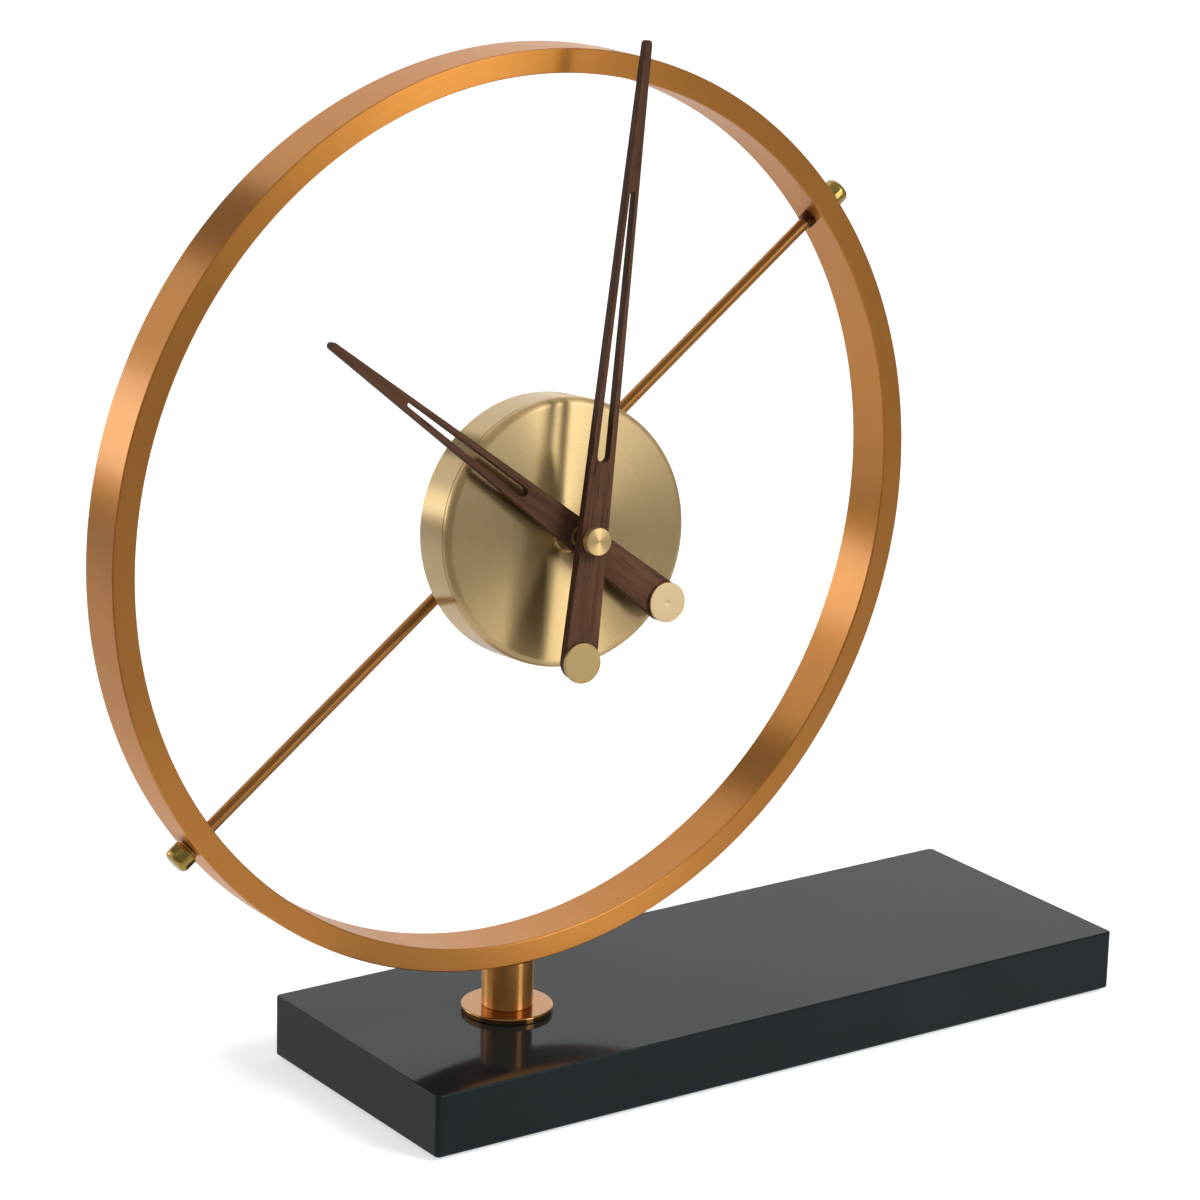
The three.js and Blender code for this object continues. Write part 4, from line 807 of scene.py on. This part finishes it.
def bush(name, place, bore, back, flange_front, front):
    outer = bore + BUSH_WALL
    lip = outer + BUSH_LIP
    corners = [
        (bore, back), (lip, back), (lip, flange_front), (outer, flange_front), (outer, front), (bore, front),
    ]
    return turned(name, rounded(corners, {1: BUSH_EDGE}), place, BUSHING_SIDES)


def tail_disc(name, place, tail, back, dimple):
    """A turned brass disc on the hand's tail, with a dimple of the radius given, or none."""
    top = back + DISC_THICK
    face = [(dimple * share, top - depth) for share, depth in DIMPLE] if dimple else [(0, top)]
    rim = rounded(block_corners(0, DISC_RADIUS, back, top), DISC_EDGES)
    return turned(name, rim[:-1] + face, place @ shift(0, -tail, 0))


def make_hand(name, place, bush_back, bore, tail, disc_metal, dimple, **taper):
    """A wooden hand on its brass bush, with a brass disc on its tail. Gives the height of its front."""
    flange_front = bush_back + BUSH_FLANGE_THICK
    back = flange_front + SEAT_GAP
    front = back + HAND_THICK
    outlines = hand_outlines(tail=tail, **taper) + [hole(0, bore + BUSH_WALL + BUSH_CLEARANCE)]
    wood = extruded(name + "_wood", outlines, back, front, HAND_EDGE, place)
    dress(wood, name + "_hand", hand_walnut, body=name)
    sleeve = bush(name + "_sleeve", place, bore, bush_back, flange_front, front)
    dress(sleeve, name + "_bush", hand_brass, body=name)
    button = tail_disc(name + "_button", place, tail, front + SEAT_GAP, dimple)
    dress(button, name + "_disc", disc_metal, body=name)
    return front


MINUTE_BUSH_BACK, MINUTE_BORE = 42.45, 1.7
# The hour hand's disc has brass with painted light in its colour
make_hand(
    "hour", HOUR, bush_back=BUSHING_FRONT + SEAT_GAP, bore=2.7, disc_metal=painted_light_hour_brass, dimple=1.2,
    reach=107.3, tip_width=2.4, tail=38.2, tail_width=12.6,
    slot_far=75.4, far_width=1.5, slot_near=24.3, near_width=3.2,
)
# The minute hand's disc has brass with painted shade in its colour
minute_front = make_hand(
    "minute", MINUTE, bush_back=MINUTE_BUSH_BACK, bore=MINUTE_BORE, disc_metal=painted_shade_minute_brass, dimple=0,
    reach=154.2, tip_width=2.3, tail=38.3, tail_width=11.5,
    slot_far=107.9, far_width=1.8, slot_near=24.2, near_width=4.2,
)

# Cap nut in front of the minute hand
CAP_RADIUS, CAP_HIGH, CAP_WALL = 4.4, 2.8, 1
CAP_EDGES = {3: 0.2, 4: 0.35}

cap_back = minute_front + SEAT_GAP
cap_front = cap_back + CAP_HIGH
cap_bore_end = cap_front - CAP_WALL
cap_corners = [
    (0, cap_bore_end), (MINUTE_BORE, cap_bore_end), (MINUTE_BORE, cap_back), (CAP_RADIUS, cap_back),
    (CAP_RADIUS, cap_front), (0, cap_front),
]
cap = turned("cap_nut", rounded(cap_corners, CAP_EDGES), FACE)
dress(cap, "hand_cap", hand_brass, body="minute")

# The CAD model's own pieces that stay, which are inside the clock
KEPT = (
    (zinc, (
        "base_bolt", "base_washer", "ring_stud", "rotor", "stator", "crystal", "contact_positive",
        "contact_negative",
    )),
    (rubber, ("gasket",)),
    # The hour wheel is black plastic, a colour such wheels have, and black also so that its tube's end
    # between the hands shows dark: partly painted shade for the minute hand's shadow there
    (black_plastic, ("movement_front", "hour_wheel")),
    (hand_brass, ("minute_arbor",)),
    (white_plastic, ("minute_wheel", "third_wheel", "intermediate_wheel", "train_plate")),
    (coil_wire, ("coil",)),
    (board_lacquer, ("circuit_board",)),
)
for material, names in KEPT:
    for name in names:
        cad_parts[name].material_slots[0].material = material


# Floor, light and camera, in metres

PURE_WHITE = (1, 1, 1, 1)
FLOOR_GREY = (0.8, 0.8, 0.8, 1)
FLOOR_SIZE, FLOOR_DROP = 60, 0.0002
FLOOR_GLOW, GLOW_START, GLOW_END = 0.6, 1.0, 3.0
AMBIENT = 0.35
FOOT = Vector((RING_X * MM, 0, 0))
CAMERA_SIDE = Vector((-0.6, -0.8, 0))
ROOM_REACH, ROOM_HEIGHT, CEILING_BACK = 3.4, 4.0, 1.2
TABLE_LIFT, NEAR_TABLE_LIFT = 0.002, 0.003
TABLE_CENTRE = Vector((0.15, 0.5, 0))


def seen_directly(tree):
    """1 for rays from the camera and for reflected and refracted ones, and 0 for light that only fills in."""
    path = add(tree, "LightPath")
    straight = calculate(tree, "MAXIMUM", path.outputs["Is Camera Ray"], path.outputs["Is Glossy Ray"])
    return calculate(tree, "MAXIMUM", straight, path.outputs["Is Transmission Ray"])


def bare_material(name):
    """A material with no nodes yet."""
    material = bpy.data.materials.new(name)
    material.use_nodes = True
    material.node_tree.nodes.clear()
    return material, material.node_tree


def make_floor():
    """A pale floor that keeps shadows, and whose glow grows to white away from the clock."""
    place = (0, 0, -FLOOR_DROP)
    bpy.ops.mesh.primitive_grid_add(x_subdivisions=8, y_subdivisions=8, size=FLOOR_SIZE, location=place)
    floor = bpy.context.object
    floor.name = "floor"
    material, tree = bare_material("pale_floor")
    matt = add(tree, "BsdfDiffuse", {"Color": FLOOR_GREY})
    growth = ramp(tree, length(tree, here(tree)), FLOOR_GLOW, 1.0, GLOW_START, GLOW_END)
    strength = calculate(tree, "MULTIPLY", seen_directly(tree), growth)
    glow = add(tree, "Emission", {"Color": PURE_WHITE, "Strength": strength})
    both = add(tree, "AddShader", {0: matt.outputs[0], 1: glow.outputs[0]})
    add(tree, "OutputMaterial", {"Surface": both.outputs[0]})
    floor.data.materials.append(material)


def make_world():
    """White where it is seen, and dimmer where it only fills in."""
    world = bpy.data.worlds.new("studio")
    bpy.context.scene.world = world
    world.use_nodes = True
    tree = world.node_tree
    background = tree.nodes["Background"]
    background.inputs["Color"].default_value = PURE_WHITE
    tree.links.new(ramp(tree, seen_directly(tree), AMBIENT, 1.0), background.inputs["Strength"])


def make_lamp(name, at, aim, width, height, power, mirrored=True):
    data = bpy.data.lights.new(name, "AREA")
    data.shape = "RECTANGLE"
    data.size, data.size_y, data.energy = width, height, power
    lamp = bpy.data.objects.new(name, data)
    facing = (Vector(aim) - Vector(at)).to_track_quat("-Z", "Y")
    lamp.matrix_world = Matrix.Translation(at) @ facing.to_matrix().to_4x4()
    lamp.visible_glossy = mirrored
    bpy.context.scene.collection.objects.link(lamp)


def make_card(name, rails, near, far=None, start=0.0, end=1.0, centre=Vector()):
    """A grey screen between two rows of points, which only reflections show.

    Its brightness runs from near to far between two distances from its centre, or is near all over.
    """
    first, second = rails
    count = len(first)
    data = bpy.data.meshes.new(name)
    quads = [(step, step + 1, count + step + 1, count + step) for step in range(count - 1)]
    data.from_pydata([Vector(point) - centre for point in first + second], [], quads)
    card = bpy.data.objects.new(name, data)
    card.location = centre
    bpy.context.scene.collection.objects.link(card)
    for kind in ("camera", "diffuse", "transmission", "volume_scatter", "shadow"):
        setattr(card, "visible_" + kind, False)
    material, tree = bare_material(name)
    strength = near if far is None else ramp(tree, length(tree, here(tree)), near, far, start, end)
    glow = add(tree, "Emission", {"Color": PURE_WHITE, "Strength": strength})
    add(tree, "OutputMaterial", {"Surface": glow.outputs[0]})
    data.materials.append(material)


def around(distance, height, start, end, steps):
    """Points on a level arc round the ring's foot, between two bearings in degrees."""
    return [FOOT + Vector((point.x, point.y, height)) for point in arc(0, 0, distance, start, end, steps)]


def wide_sheet(front, back, height):
    """Two level rows of points as wide as the room."""
    return [[(-ROOM_REACH, y, height), (ROOM_REACH, y, height)] for y in (front, back)]


make_floor()
make_world()
make_lamp("key", at=(1.3, -1.7, 1.9), aim=(0, 0, 0.15), width=1.6, height=1.6, power=70, mirrored=False)
make_lamp("softbox", at=(0.98, -2.12, 1.0), aim=(-0.08, 0, 0.25), width=0.75, height=1.9, power=14)
make_lamp("rim", at=(-1.6, 2.0, 0.45), aim=(-0.08, 0, 0.19), width=1.0, height=0.6, power=5)
walls = [around(ROOM_REACH, height, start=-192, end=18, steps=20) for height in (0.0, ROOM_HEIGHT)]
make_card("room", walls, near=0.2, far=0.32, start=0.6, end=3.6, centre=CAMERA_SIDE * ROOM_REACH)
make_card("ceiling", wide_sheet(-ROOM_REACH, CEILING_BACK, ROOM_HEIGHT), near=0.45)
table = wide_sheet(-ROOM_REACH, ROOM_REACH, TABLE_LIFT)
make_card("table", table, near=0.8, far=0.38, start=0.6, end=1.3, centre=TABLE_CENTRE)
near_table = [around(reach, NEAR_TABLE_LIFT, start=-185, end=-100, steps=8) for reach in (0.28, 3.3)]
make_card("near_table", near_table, near=0.28)
# The two long edges of a strip that rises from behind the clock to its upper left
STRIP_EDGES = [
    [(0.0, 1.9, 0.45), (-0.95, 1.55, 1.25), (-1.45, 0.5, 1.75), (-1.5, -0.2, 1.8)],
    [(0.4, 1.9, 0.45), (-0.5, 1.75, 1.5), (-1.05, 0.5, 2.05), (-1.1, -0.2, 2.1)],
]
make_card("strip", STRIP_EDGES, near=0.25)

EYE = (-0.79116, -1.0518, 0.5367)
AZIMUTH, ELEVATION, ROLL = (math.radians(angle) for angle in (-35.25, 16.39, 1.54))
LENS, SENSOR = 123.9, 36
forward = Vector((
    -math.sin(AZIMUTH) * math.cos(ELEVATION), math.cos(AZIMUTH) * math.cos(ELEVATION), -math.sin(ELEVATION),
))
level = Vector((math.cos(AZIMUTH), math.sin(AZIMUTH), 0))
rise = level.cross(forward)
right = math.cos(ROLL) * level + math.sin(ROLL) * rise
up = math.cos(ROLL) * rise - math.sin(ROLL) * level
camera_data = bpy.data.cameras.new("camera")
camera_data.lens = LENS
camera_data.sensor_width = SENSOR
camera = bpy.data.objects.new("camera", camera_data)
camera.matrix_world = Matrix.Translation(EYE) @ Matrix((right, up, -forward)).transposed().to_4x4()
bpy.context.scene.collection.objects.link(camera)
bpy.context.scene.camera = camera
bpy.context.scene.view_settings.view_transform = "Standard"
